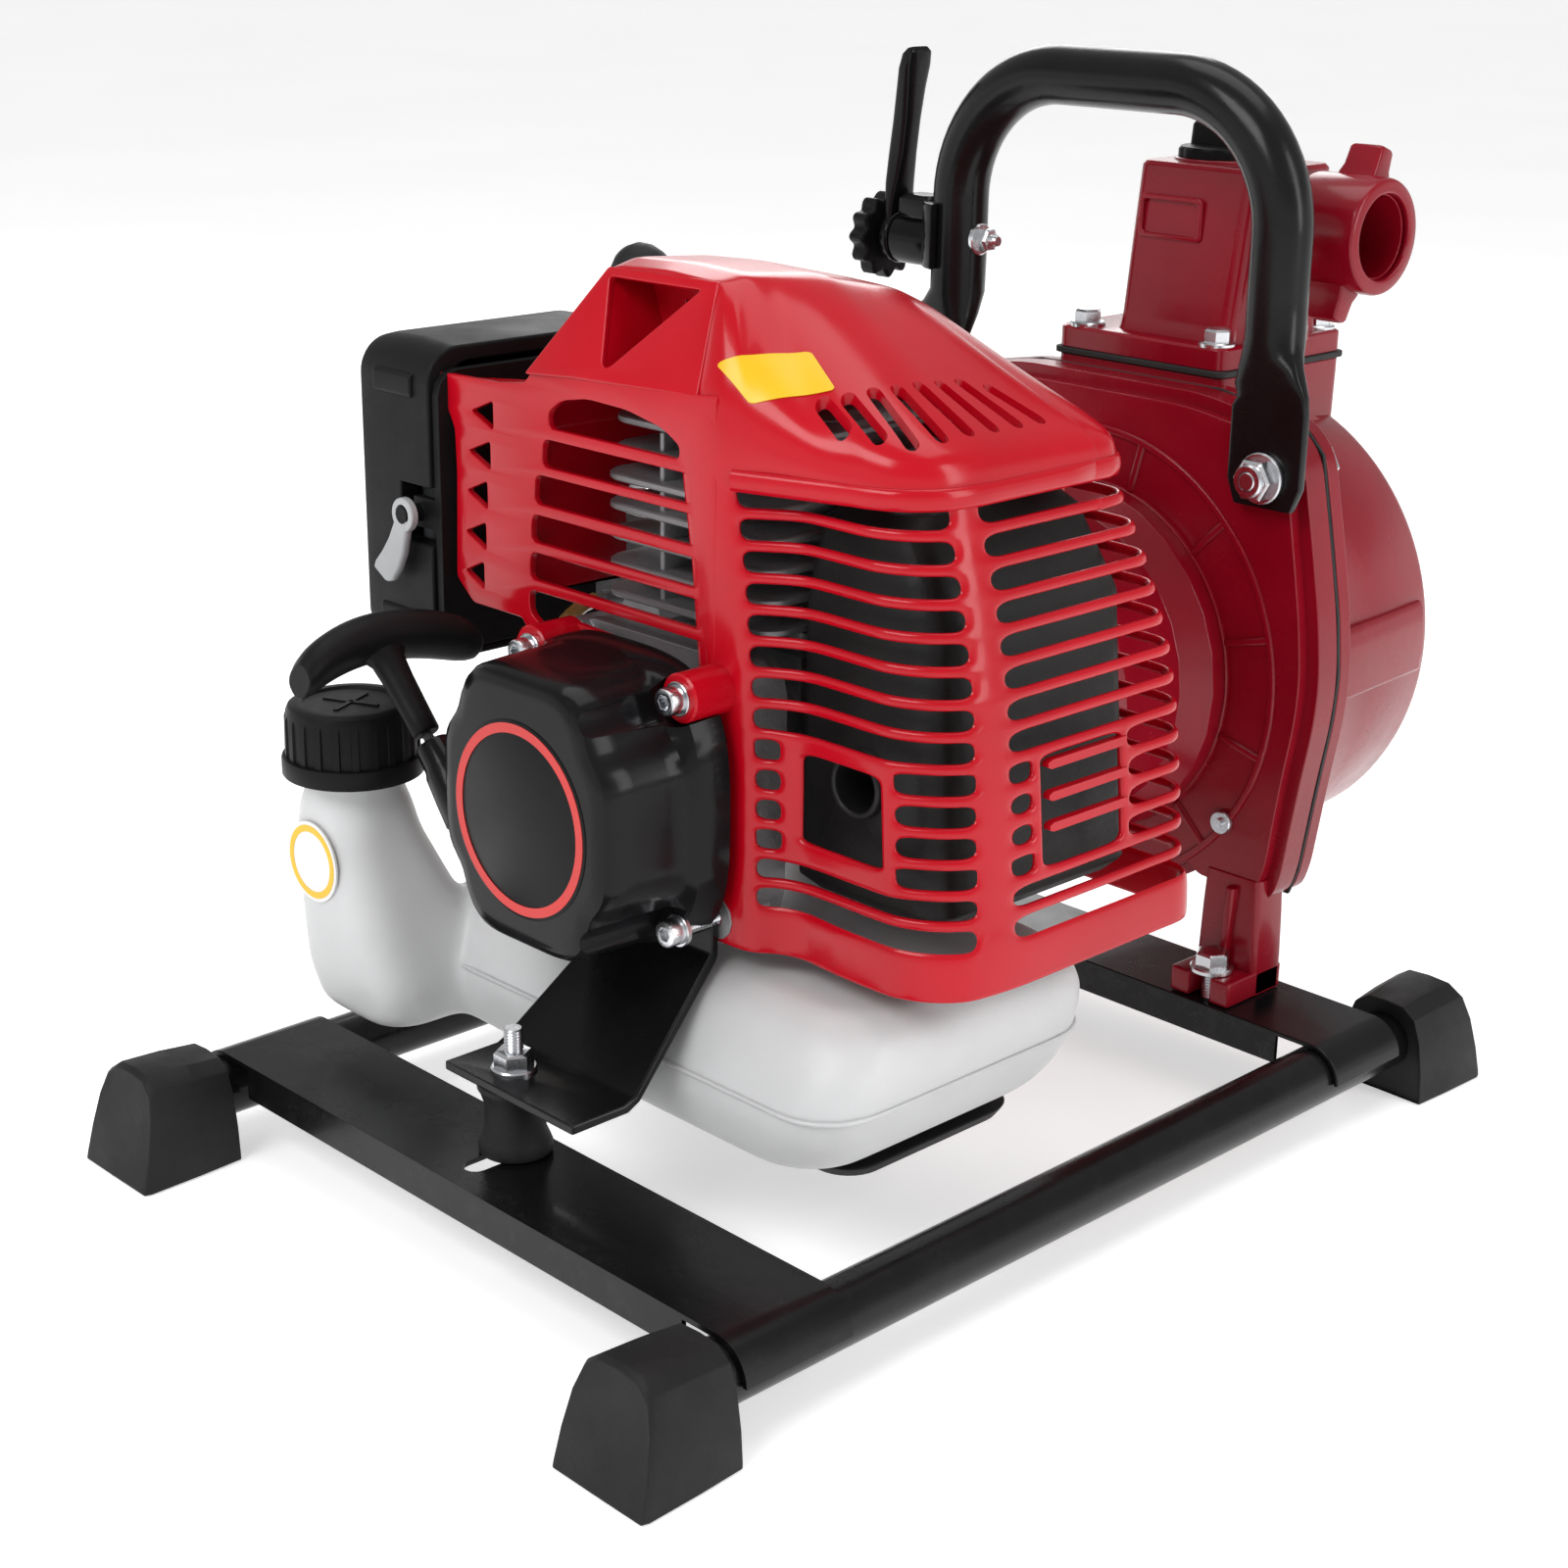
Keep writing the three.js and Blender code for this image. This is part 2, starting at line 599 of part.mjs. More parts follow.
// ---------------------------------------------------------------- muffler
addPart('muffler', cut(
  join(
    roundedStack([
      [112, [46, 100], [-50, 32]], [116, [42, 104], [-54, 35]], [200, [42, 96], [-52, 35]],
      [224, [42, 84], [-46, 30]], [229, [46, 78], [-40, 26]],
    ], 8),
    ring('y', 8, 10, -57, -48, [72, 0, 151]),
  ),
  rod('y', 8, -60, -36, [72, 0, 151]),
), 'blackSteel');

// ---------------------------------------------------------------- carburettor and air filter
addPart('carburettor', cut(
  join(
    box([-78, -46], [-28, 2], [170, 204]),
    box([-46, -42 - GAP], [-22, 6], [188, 214]),
    rod('z', 11, 164, 170, [-62, -13, 0]),
    rod('x', 13, -92, -78, [0, -10, 194], 20),
    rod('y', 3, -36, -28, [-66, 0, 176], 12),
  ),
  rod('x', 8, -100, -40, [0, -10, 194], 16),
), 'castAluminium');

addPart('primer_bulb', turned([
  [0, 153], [4, 154], [7, 157], [8, 161], [8, 163.7], [0, 163.7],
], 'z', [-62, -13, 0], 16), 'greyPlastic');

addPart('air_filter_base', cut(
  join(
    prism(roundedRect([-80, 6], [160, 252], 8), 'x', -95.6, -92.3),
    rod('y', 3, -87.5, -78, [-104, 0, 205], 12),
    box([-107, -93], [-80, -77], [200, 210]),
  ),
  rod('x', 9, -100, -90, [0, -10, 194], 16),
), 'mattePlastic');

addPart('air_filter_element', prism(roundedRect([-72, -2], [168, 244], 8), 'x', -114, -96), 'foam');

addPart('air_filter_cover', cut(
  prism(roundedRect([-81.3, 10], [156, 256], 12), 'x', -131, -96),
  prism(roundedRect([-74, 7.5], [158.5, 253.5], 10), 'x', -128.5, -94),
  box([-112, -94], [-90, -70], [195, 214]),
), 'mattePlastic');

addPart('choke_lever', cut(
  join(
    prism(roundedRect([-107.5, -100.5], [201.5, 208.5], 3.4), 'y', -87, -84.6),
    prism([[-105, 202], [-101, 204], [-112, 184], [-118, 185], [-118, 189]], 'y', -87, -84.6),
  ),
  rod('y', 3.25, -90, -80, [-104, 0, 205], 12),
), 'greyPlastic');

// ---------------------------------------------------------------- fuel system
const CAP_CENTRE = [-103.6, -110, 0];
function tankForm(inset) {
  const body = [
    [36 + inset, [-62, 84], [-84, 6]],
    [42 + inset, [-88, 94], [-94, 18]],
    [60, [-96, 102], [-96, 26]],
    [78, [-96, 103], [-86, 29]],
    [89 - inset, [-90, 96], [-78, 24]],
  ];
  const column = [
    [44 + inset, [-114, -78], [-122, -80]],
    [56, [-120, -72], [-126, -80]],
    [112, [-122, -86], [-127, -92]],
    [122 - inset, [-119, -89], [-124, -95]],
  ];
  const shrink = ([z, x, y]) => [
    z, [x[0] + inset, x[1] - inset], [y[0] + inset, y[1] - inset],
  ];
  return join(
    roundedStack(body.map(shrink), 14),
    roundedStack(column.map(shrink), 10),
    rod('z', 15 - inset, 116, inset > 0 ? 150 : 144, CAP_CENTRE),
  );
}
addPart('fuel_tank', cut(
  tankForm(0),
  tankForm(WALL),
  rod('z', 3.2, 80, 100, [-70, -60, 0], 12),
), 'tankPlastic');

function fuelCap() {
  const body = turned([
    [0, 149], [17, 149], [19.5, 146], [19.5, 131], [21.5, 131], [21.5, 125.5],
    [16, 125.5], [16, 145.5], [0, 145.5],
  ], 'z', CAP_CENTRE, 30);
  const ribs = [];
  for (let i = 0; i < 10; i += 1) {
    const geometry = new THREE.BoxGeometry(3, 4, 14);
    geometry.translate(18.6, 0, 138);
    geometry.rotateZ(i * Math.PI / 5);
    geometry.translate(...CAP_CENTRE);
    ribs.push(toSolid(geometry));
  }
  return join(body, ...ribs);
}
addPart('fuel_cap', fuelCap(), 'mattePlastic');

function fuelLine() {
  const path = new THREE.CatmullRomCurve3([
    new THREE.Vector3(-70, -60, 76),
    new THREE.Vector3(-70, -60, 100),
    new THREE.Vector3(-76, -58, 130),
    new THREE.Vector3(-76, -52, 158),
    new THREE.Vector3(-66, -46, 174),
    new THREE.Vector3(-66, -38, 176),
  ]);
  const section = new THREE.Shape();
  section.absarc(0, 0, 2.5, 0, 2 * Math.PI, false);
  return toSolid(new THREE.ExtrudeGeometry(section, {
    steps: 20, extrudePath: path, curveSegments: 4,
  }));
}
addPart('fuel_line', fuelLine(), 'brassHose');

addPart('tank_stand', roundedStack([
  [28, [-46, 78], [-64, -2]], [32, [-52, 86], [-70, 4]], [35.7, [-54, 88], [-72, 6]],
], 8), 'mattePlastic');

// ---------------------------------------------------------------- recoil starter
const PULL = new THREE.Vector3(-Math.SQRT1_2, 0, Math.SQRT1_2);
const GRIP_CENTRE = [-82, -114.6, 174];
const PULLEY_Y = [-117, -106];

function alongPull(distance) {
  return [
    GRIP_CENTRE[0] + PULL.x * distance,
    GRIP_CENTRE[1],
    GRIP_CENTRE[2] + PULL.z * distance,
  ];
}

// Rounded square whose four corners are scooped out round the bolts.
function starterSection(y, halfWidth, halfHeight, scoop, squareness) {
  const points = [];
  for (let i = 0; i < 40; i += 1) {
    const angle = i * Math.PI / 20;
    const [c, s] = [Math.cos(angle), Math.sin(angle)];
    const edge = (Math.abs(c / halfWidth) ** squareness + Math.abs(s / halfHeight) ** squareness)
      ** (-1 / squareness);
    const corner = Math.sin(2 * angle) ** 8;
    const radius = edge - scoop * corner;
    points.push([radius * c, y, STARTER_CENTRE_Z + radius * s]);
  }
  return points;
}

function starterHousing() {
  const body = loft([
    starterSection(STARTER_FACE_Y, 34, 38, 7, 7),
    starterSection(STARTER_FACE_Y + 1.2, 36.6, 40.6, 7.5, 7),
    starterSection(STARTER_FACE_Y + 4, 38, 42, 8, 7),
    starterSection(STARTER_FACE_Y + 29, 38.8, 42, 9, 5),
    starterSection(STARTER_FACE_Y + 33, 42, 43.5, 1, 3.2),
    starterSection(STARTER_REAR_Y, 44, 45, 0, 2.8),
  ]);
  const lugs = [-1, 1].map((side) => rod(
    'y', 7, BOLT_SEAT_Y + 1.5 + GAP, STARTER_REAR_Y, [side * BOLT_X, 0, BOLT_LOW_Z], 16));
  const boltRoom = [-1, 1].flatMap((side) => [
    rod('y', 8.2, -110, BOLT_SEAT_Y + 1.5 + GAP, [side * BOLT_X, 0, BOLT_LOW_Z], 16),
    rod('y', 8.2, -110, -70, [side * BOLT_X, 0, BOLT_HIGH_Z], 16),
  ]);
  const holes = [-1, 1].map((side) => rod(
    'y', 2.8, -100, -70, [side * BOLT_X, 0, BOLT_LOW_Z], 12));
  const pocket = cut(
    rod('y', 34, STARTER_FACE_Y + 3, STARTER_REAR_Y + 1, [0, 0, CRANK_Z], 36),
    ...[-1, 1].flatMap((side) => [BOLT_LOW_Z, BOLT_HIGH_Z].map((z) => rod(
      'y', 10.5, -130, -70, [side * BOLT_X, 0, z], 16))),
  );
  const post = rod('y', 4, STARTER_FACE_Y + 1, PULLEY_Y[1] + 4, [0, 0, CRANK_Z], 16);
  const eyelet = rodBetween(alongPull(-66), alongPull(-40), 7, 4.6);
  const ropeHole = rodBetween(alongPull(-84), alongPull(-30), 2.6, 2.6, 12);
  return cut(
    join(cut(join(cut(body, ...boltRoom), ...lugs, eyelet), pocket), post),
    ...holes,
    ropeHole,
  );
}
addPart('starter_housing', starterHousing(), 'blackPlastic');

addPart('starter_pulley', cut(
  rod('y', 30, PULLEY_Y[0], PULLEY_Y[1], [0, 0, CRANK_Z], 32),
  rod('y', 4.3, PULLEY_Y[0] - 1, PULLEY_Y[1] + 1, [0, 0, CRANK_Z], 16),
), 'mattePlastic');

function starterGrip() {
  const half = 33;
  const sections = [];
  for (let i = 0; i <= 8; i += 1) {
    const t = -1 + i / 4;
    const droop = 9 * t * t;
    const size = 1 - 0.25 * t * t * t * t;
    const ends = 1 - 0.3 * (Math.abs(t) === 1 ? 1 : 0);
    const section = [];
    for (let k = 0; k < 12; k += 1) {
      const angle = k * Math.PI / 6;
      const across = 8.2 * size * ends * Math.cos(angle);
      const height = 6.2 * size * ends * Math.sin(angle) - droop;
      section.push([
        GRIP_CENTRE[0] + PULL.x * height + PULL.z * across,
        GRIP_CENTRE[1] + half * t,
        GRIP_CENTRE[2] + PULL.z * height - PULL.x * across,
      ]);
    }
    sections.push(section);
  }
  return join(loft(sections), rodBetween(alongPull(-36), alongPull(-1), 4.6, 6.4, 12));
}
addPart('starter_grip', starterGrip(), 'mattePlastic');
addPart('starter_rope', rodBetween(
  alongPull(-80), alongPull(-36.3), 1.8, 1.8, 10), 'rope');

function starterBolt(x, z) {
  const head = cut(
    rod('y', 4.25, BOLT_SEAT_Y - 5, BOLT_SEAT_Y, [x, 0, z], 20),
    prism(hexagon(x, z, 2.3), 'y', BOLT_SEAT_Y - 6, BOLT_SEAT_Y - 2.5),
  );
  return join(
    head,
    rod('y', 5.2, BOLT_SEAT_Y, BOLT_SEAT_Y + 1.5, [x, 0, z], 20),
    rod('y', 2.45, BOLT_SEAT_Y + 1, -58, [x, 0, z], 12),
  );
}
addPart('starter_bolt_1', starterBolt(-BOLT_X, BOLT_LOW_Z), 'zinc');
addPart('starter_bolt_2', starterBolt(BOLT_X, BOLT_LOW_Z), 'zinc');
addPart('starter_bolt_3', starterBolt(-BOLT_X, BOLT_HIGH_Z), 'zinc');
addPart('starter_bolt_4', starterBolt(BOLT_X, BOLT_HIGH_Z), 'zinc');

// ---------------------------------------------------------------- pump casing
const LEG_X = [59, 84];
const SHOULDER = { x: 84, z: 222 };

// Right half of the casing flange, from the bottom middle up to the top middle.
const CASE_SIDE = [
  [18, 53.8], [34, 58.6], [46, 64.5], [54, 70], [59, 66], [84, 66], [87.5, 76], [92, 108],
  [96, 132], [97, 148], [95, 168], [90, 194], [SHOULDER.x, SHOULDER.z], [74, 232], [40, 238],
];
const CASE_OUTLINE = [...CASE_SIDE, ...CASE_SIDE.map(([x, z]) => [-x, z]).reverse()];
function caseLeg(side) {
  const x = LEG_X.map((value) => side * value).sort((a, b) => a - b);
  const base = CROSSBAR_TOP + GAP;
  const pad = cut(
    box(x, [119, CASE_REAR_Y], [base, base + 9]),
    box([side * FOOT_BOLT.x - 4.2, side * FOOT_BOLT.x + 4.2], [110, FOOT_BOLT.y + 4], [20, 50]),
  );
  return join(box(x, [CASE_FRONT_Y, CASE_REAR_Y], [base, 70]), pad);
}

function pumpFrontCase() {
  const centre = [0, 0, CRANK_Z];
  const boltHoles = [-1, 1].map((side) => rod(
    'y', 3.6, 120, 160, [side * HANDLE_BOLT.x, 0, HANDLE_BOLT.z], 12));
  const body = join(
    prism(CASE_OUTLINE, 'y', CASE_FRONT_Y, CASE_REAR_Y),
    caseLeg(-1),
    caseLeg(1),
  );
  return cut(
    body,
    ring('y', 66, 82, CASE_FRONT_Y - 1, CASE_FRONT_Y + 5, centre, 32),
    rod('y', 79, CASE_FRONT_Y + 11, CASE_REAR_Y + 1, centre, 32),
    rod('y', 14.3, CASE_FRONT_Y - 1, CASE_REAR_Y, centre),
    ...boltHoles,
  );
}
addPart('pump_front_case', pumpFrontCase(), 'redPaint');

addPart('case_gasket', cut(
  prism(CASE_OUTLINE, 'y', CASE_REAR_Y + GAP, COVER_Y[0] - GAP),
  rod('y', 82, 140, 160, [0, 0, CRANK_Z], 36),
  ...[-1, 1].map((side) => rod('y', 3.6, 120, 160, [side * HANDLE_BOLT.x, 0, HANDLE_BOLT.z], 12)),
), 'gasket');

const NECK_TOP_Z = 240;
const NECK_X = [-37, 37];
const NECK_Y = [155, 227];

function pumpRearCase() {
  const centre = [0, 0, CRANK_Z + 4];
  const drum = turned([
    [0, COVER_Y[0]], [90, COVER_Y[0]], [88.5, COVER_Y[1]], [84.5, DRUM_REAR_Y - 4],
    [80.5, DRUM_REAR_Y], [0, DRUM_REAR_Y],
  ], 'y', centre, 36);
  const body = join(
    prism(CASE_OUTLINE, 'y', COVER_Y[0], COVER_Y[1]),
    drum,
    box(NECK_X, NECK_Y, [190, NECK_TOP_Z]),
    box([78, 92], [COVER_Y[1] - 2, 218], [136, 160]),
    box([-92, -78], [COVER_Y[1] - 2, 218], [136, 160]),
    rod('y', SUCTION_R + 4, DRUM_REAR_Y - 2, DRUM_REAR_Y + 6, centre),
    rod('y', SUCTION_R, DRUM_REAR_Y - 2, SUCTION_END_Y, centre),
  );
  return cut(
    body,
    rod('y', 79, COVER_Y[0] - 1, DRUM_REAR_Y - 6, centre, 32),
    rod('y', SUCTION_BORE_R, DRUM_REAR_Y - 10, SUCTION_END_Y + 1, centre, 20),
    rod('z', 17, 200, NECK_TOP_Z + 1, [0, TOWER_Y, 0]),
    ...[-1, 1].map((side) => rod(
      'y', 3.6, 120, 170, [side * HANDLE_BOLT.x, 0, HANDLE_BOLT.z], 12)),
  );
}
addPart('pump_rear_case', pumpRearCase(), 'redPaint');

function impeller() {
  const centre = [0, 0, CRANK_Z];
  const blades = [];
  for (let i = 0; i < 6; i += 1) {
    const geometry = new THREE.BoxGeometry(38, 9, 3);
    geometry.translate(33, 182, 0);
    geometry.rotateY(0.35);
    geometry.translate(0, 0, 6);
    geometry.rotateY(i * Math.PI / 3);
    geometry.translate(0, 0, CRANK_Z);
    blades.push(toSolid(geometry));
  }
  return cut(
    join(rod('y', 56, 172, 179, centre, 36), rod('y', 12, 166, 186, centre), ...blades),
    rod('y', 6.3, 150, 200, centre, 16),
  );
}
addPart('impeller', impeller(), 'castAluminium');

addPart('shaft_seal', ring('y', 6.5, 14, CASE_FRONT_Y + 2, 160, [0, 0, CRANK_Z]), 'blackRubber');

// ---------------------------------------------------------------- discharge tower
const FLANGE_Z = [242.5, 250];
const TOWER_TOP_Z = 309;

addPart('tower_gasket', cut(
  slab([-38, 38], [154, 228], 4, [NECK_TOP_Z + GAP, FLANGE_Z[0] - GAP]),
  rod('z', 17, 230, 250, [0, TOWER_Y, 0]),
), 'gasket');

function dischargeTower() {
  const body = join(
    slab([-37, 37], NECK_Y, 4, FLANGE_Z),
    roundedStack([
      [FLANGE_Z[1] - 1, [-17, 33], [164, 216]],
      [TOWER_TOP_Z, [-14, 37], [167, 213]],
    ], 4),
    rod('x', 16.2, 20, PORT_END_X, [0, TOWER_Y, PORT_Z]),
  );
  return cut(
    body,
    slab([-10, 24], [172, 208], 4, [240, TOWER_TOP_Z - 5]),
    rod('x', PORT_BORE_R, 20, PORT_END_X + 1, [0, TOWER_Y, PORT_Z]),
    rod('z', 11.3, TOWER_TOP_Z - 8, TOWER_TOP_Z + 1, [5, TOWER_Y, 0]),
  );
}
addPart('discharge_tower', dischargeTower(), 'redPaint');

addPart('priming_plug', join(
  rod('z', 10.9, TOWER_TOP_Z - 6, TOWER_TOP_Z + 1, [5, TOWER_Y, 0]),
  rod('z', 15, TOWER_TOP_Z + GAP, TOWER_TOP_Z + 4.5, [5, TOWER_Y, 0]),
  box([-7.5, 17.5], [TOWER_Y - 3, TOWER_Y + 3], [TOWER_TOP_Z + 4, TOWER_TOP_Z + 13]),
), 'mattePlastic');

function outletCoupling() {
  const collar = ring('x', 16.6, 19.6, 46, PORT_END_X + 1.5, [0, TOWER_Y, PORT_Z], 28);
  const lip = ring('x', 14.4, 19.6, PORT_END_X + 0.4, PORT_END_X + 2.6, [0, TOWER_Y, PORT_Z], 28);
  const lugs = [20, 200].map((lean) => {
    const geometry = new THREE.BoxGeometry(14, 9, 12.6);
    geometry.translate(60, 0, 23.7);
    geometry.rotateX(THREE.MathUtils.degToRad(-lean));
    geometry.translate(0, TOWER_Y, PORT_Z);
    return toSolid(geometry);
  });
  return join(collar, lip, ...lugs);
}
addPart('outlet_coupling', outletCoupling(), 'redPaint');

// ---------------------------------------------------------------- carrying handle
const HANDLE_FLAT_TOP = 242;
const HANDLE_FOOT_Z = 206;

// Stations along the handle: a round tube whose two ends are pressed flat and set outwards.
function handleStations() {
  const bend = [HANDLE_X - HANDLE_BEND, HANDLE_TOP_Z - HANDLE_BEND];
  const flat = { halfWidth: 14.5, halfDepth: 1.9, shiftY: -7.2, power: 0.3 };
  const swage = { halfWidth: 12, halfDepth: 6, shiftY: -3.5, power: 0.7 };
  const round = { halfWidth: HANDLE_R, halfDepth: HANDLE_R, shiftY: 0, power: 1 };
  const half = [
    { p: [HANDLE_BOLT.x, HANDLE_FOOT_Z], ...flat },
    { p: [HANDLE_BOLT.x, HANDLE_FLAT_TOP - 3], ...flat },
    { p: [HANDLE_X + 2.5, HANDLE_FLAT_TOP + 6], ...swage },
    { p: [HANDLE_X, HANDLE_FLAT_TOP + 18], ...round },
    ...arcPoints(bend[0], bend[1], HANDLE_BEND, 0, 90, 6).map((p) => ({ p, ...round })),
  ];
  const mirrored = half.map((station) => ({ ...station, p: [-station.p[0], station.p[1]] }));
  return [...half, ...mirrored.reverse()];
}

function softPower(value, power) {
  return Math.sign(value) * Math.abs(value) ** power;
}

function carryHandle() {
  const stations = handleStations();
  const sections = stations.map(({ p, halfWidth, halfDepth, shiftY, power }, i) => {
    const before = stations[Math.max(i - 1, 0)].p;
    const after = stations[Math.min(i + 1, stations.length - 1)].p;
    const along = new THREE.Vector2(after[0] - before[0], after[1] - before[1]).normalize();
    const section = [];
    for (let k = 0; k < 16; k += 1) {
      const angle = k * Math.PI / 8;
      const u = halfWidth * softPower(Math.cos(angle), power);
      const v = halfDepth * softPower(Math.sin(angle), power);
      section.push([p[0] + along.y * u, HANDLE_Y + shiftY + v, p[1] - along.x * u]);
    }
    return section;
  });
  const holes = [-1, 1].map((side) => rod(
    'y', 3.6, 120, 140, [side * HANDLE_BOLT.x, 0, HANDLE_BOLT.z], 12));
  return cut(loft(sections), ...holes);
}
addPart('carry_handle', carryHandle(), 'blackPaint');

function handleBolt(side) {
  const [x, z] = [side * HANDLE_BOLT.x, HANDLE_BOLT.z];
  const front = HANDLE_Y - 9.1 - GAP;
  return join(
    prism(hexagon(x, z, 7.4), 'y', front - 6.5, front - 1.6),
    rod('y', 8.2, front - 1.6, front, [x, 0, z], 20),
    rod('y', 3.2, front - 8.5, COVER_Y[1] + 3, [x, 0, z], 12),
    prism(hexagon(x, z, 7.4), 'y', COVER_Y[1] + GAP, COVER_Y[1] + 5),
  );
}
addPart('handle_bolt_left', handleBolt(-1), 'zinc');
addPart('handle_bolt_right', handleBolt(1), 'zinc');

function footBolt(side) {
  const centre = [side * FOOT_BOLT.x, FOOT_BOLT.y, 0];
  const padTop = CROSSBAR_TOP + GAP + 9;
  return join(
    prism(hexagon(centre[0], centre[1], 6), 'z', padTop + 1.8, padTop + 7),
    rod('z', 6.5, padTop + GAP, padTop + 1.8, centre, 20),
    rod('z', 3.4, CROSSBAR_TOP - 12, padTop + 3, centre, 12),
    prism(hexagon(centre[0], centre[1], 6), 'z', CROSSBAR_TOP - 9, CROSSBAR_TOP - SHEET - GAP),
  );
}
addPart('foot_bolt_left', footBolt(-1), 'zinc');
addPart('foot_bolt_right', footBolt(1), 'zinc');

// ---------------------------------------------------------------- throttle control
const THROTTLE_Z = 276;
const THROTTLE_AXIS = [0, HANDLE_Y, THROTTLE_Z];

addPart('throttle_body', join(
  ring('z', HANDLE_R + GAP, 13.5, 268, 291, [-HANDLE_X, HANDLE_Y, 0], 24),
  rod('x', 9, -97.7, -82, THROTTLE_AXIS),
  rod('x', 3.7, -107, -90, THROTTLE_AXIS, 16),
  box([-94, -80], [HANDLE_Y - 5, HANDLE_Y + 5], [284, 292]),
  rod('y', 4.4, HANDLE_Y - 8, HANDLE_Y + 8, [-55.3, 0, 275], 16),
), 'blackPlastic');

addPart('throttle_lever', cut(
  join(
    rod('x', 9.5, -102, -98, THROTTLE_AXIS),
    rodBetween([-100.8, HANDLE_Y, THROTTLE_Z + 6], [-100.8, HANDLE_Y, THROTTLE_Z + 15], 2.7, 2.7, 12),
    rodBetween([-100.8, HANDLE_Y, THROTTLE_Z + 13], [-93, HANDLE_Y - 2, 333], 2.7, 3.4, 12),
    rodBetween([-93.4, HANDLE_Y - 2, 330], [-91.5, HANDLE_Y - 3, 341], 3.6, 4.4, 12),
  ),
  rod('x', 4, -110, -90, THROTTLE_AXIS, 16),
), 'blackPlastic');

function throttleDial() {
  const outline = [];
  for (let i = 0; i < 48; i += 1) {
    const angle = i * Math.PI / 24;
    const radius = 14.6 + 1.1 * Math.cos(8 * angle);
    outline.push([HANDLE_Y + radius * Math.cos(angle), THROTTLE_Z + radius * Math.sin(angle)]);
  }
  return cut(
    prism(outline, 'x', -112, -104),
    rod('x', 4, -108.5, -100, THROTTLE_AXIS, 16),
  );
}
addPart('throttle_dial', throttleDial(), 'blackPlastic');

pump.position.y = -BBOX_CENTRE_Y;
pump.updateMatrixWorld(true);

export default pump;
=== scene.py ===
import math

import bmesh
import bpy
from mathutils import Matrix, Vector
from mathutils.bvhtree import BVHTree


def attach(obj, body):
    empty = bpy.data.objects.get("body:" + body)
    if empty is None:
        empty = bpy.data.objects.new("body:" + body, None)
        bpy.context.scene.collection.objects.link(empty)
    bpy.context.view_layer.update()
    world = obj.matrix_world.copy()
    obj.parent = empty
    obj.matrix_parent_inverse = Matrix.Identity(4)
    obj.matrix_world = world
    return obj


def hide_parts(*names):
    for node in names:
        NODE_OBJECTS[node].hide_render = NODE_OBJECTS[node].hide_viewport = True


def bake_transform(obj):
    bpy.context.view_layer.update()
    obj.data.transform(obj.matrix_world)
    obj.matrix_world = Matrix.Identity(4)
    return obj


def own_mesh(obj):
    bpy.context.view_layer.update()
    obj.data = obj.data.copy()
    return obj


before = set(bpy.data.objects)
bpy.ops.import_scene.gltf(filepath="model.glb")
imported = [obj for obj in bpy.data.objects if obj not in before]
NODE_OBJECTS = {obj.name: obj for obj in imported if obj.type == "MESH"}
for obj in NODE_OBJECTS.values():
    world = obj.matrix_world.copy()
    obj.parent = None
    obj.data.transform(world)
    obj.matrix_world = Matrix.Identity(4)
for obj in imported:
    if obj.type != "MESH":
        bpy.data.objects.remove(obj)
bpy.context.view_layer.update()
scene = bpy.context.scene
scene.view_settings.view_transform = "Standard"

# ------------------------------------------------------------------ where things are
# Lengths are in millimetres unless they end in a division by 1000. The frame's origin lies
# 24 mm further back than the y = 0 of this script.
SHIFT_Y = 24.0
CRANK_Z = 139
STARTER_Z, LABEL_Z = 139.2, 137.4
BOLT_X, BOLT_LOW, BOLT_HIGH = 34, 104, 176
STARTER_BOLTS = [(-BOLT_X, BOLT_LOW), (BOLT_X, BOLT_LOW), (-BOLT_X, BOLT_HIGH), (BOLT_X, BOLT_HIGH)]
STARTER_SEAT = -92.0  # where the washers of the starter's bolts sit
CREASE_Z = 260.5  # the hood's flat front meets the facets beside its scoop
FILLER = (-103.6, -110)
MOUNT_Y = -127.6
DRUM_Z = 143
TOWER_Y, OUTLET_Z, PLUG_X = 190, 289, 5
FOOT_BOLT_X, FOOT_BOLT_Y = 71.5, 126
HANDLE_Y, HANDLE_BOLT_X, HANDLE_BOLT_Z = 138, 75.5, 216
THROTTLE_Z, CLAMP_Z = 276, 279
THROTTLE_AXIS = (0, HANDLE_Y, THROTTLE_Z)
BACK = Vector((0, 1, 0))

THREAD_PITCH = 1.0
MERGE_DISTANCE = 1e-6  # metres
BEVEL_ANGLE = 32  # edges sharper than this many degrees are rounded over


def pt(x, y, z):
    return Vector((x / 1000, (y - SHIFT_Y) / 1000, z / 1000))


# ------------------------------------------------------------------ camera
camera_data = bpy.data.cameras.new("camera")
camera_data.sensor_width = 36
camera_data.lens = 59.815
camera_data.clip_start = 0.01
camera_data.clip_end = 20
camera = bpy.data.objects.new("camera", camera_data)
scene.collection.objects.link(camera)
right = Vector((0.69472396, 0.71916639, 0.01258265))
up = Vector((-0.24429854, 0.21946974, 0.94453759))
back = Vector((0.67651817, -0.65926682, 0.32816218))
camera.matrix_world = Matrix.Translation(pt(570, -570.5, 400)) @ Matrix((right, up,
    back)).transposed().to_4x4()
scene.camera = camera


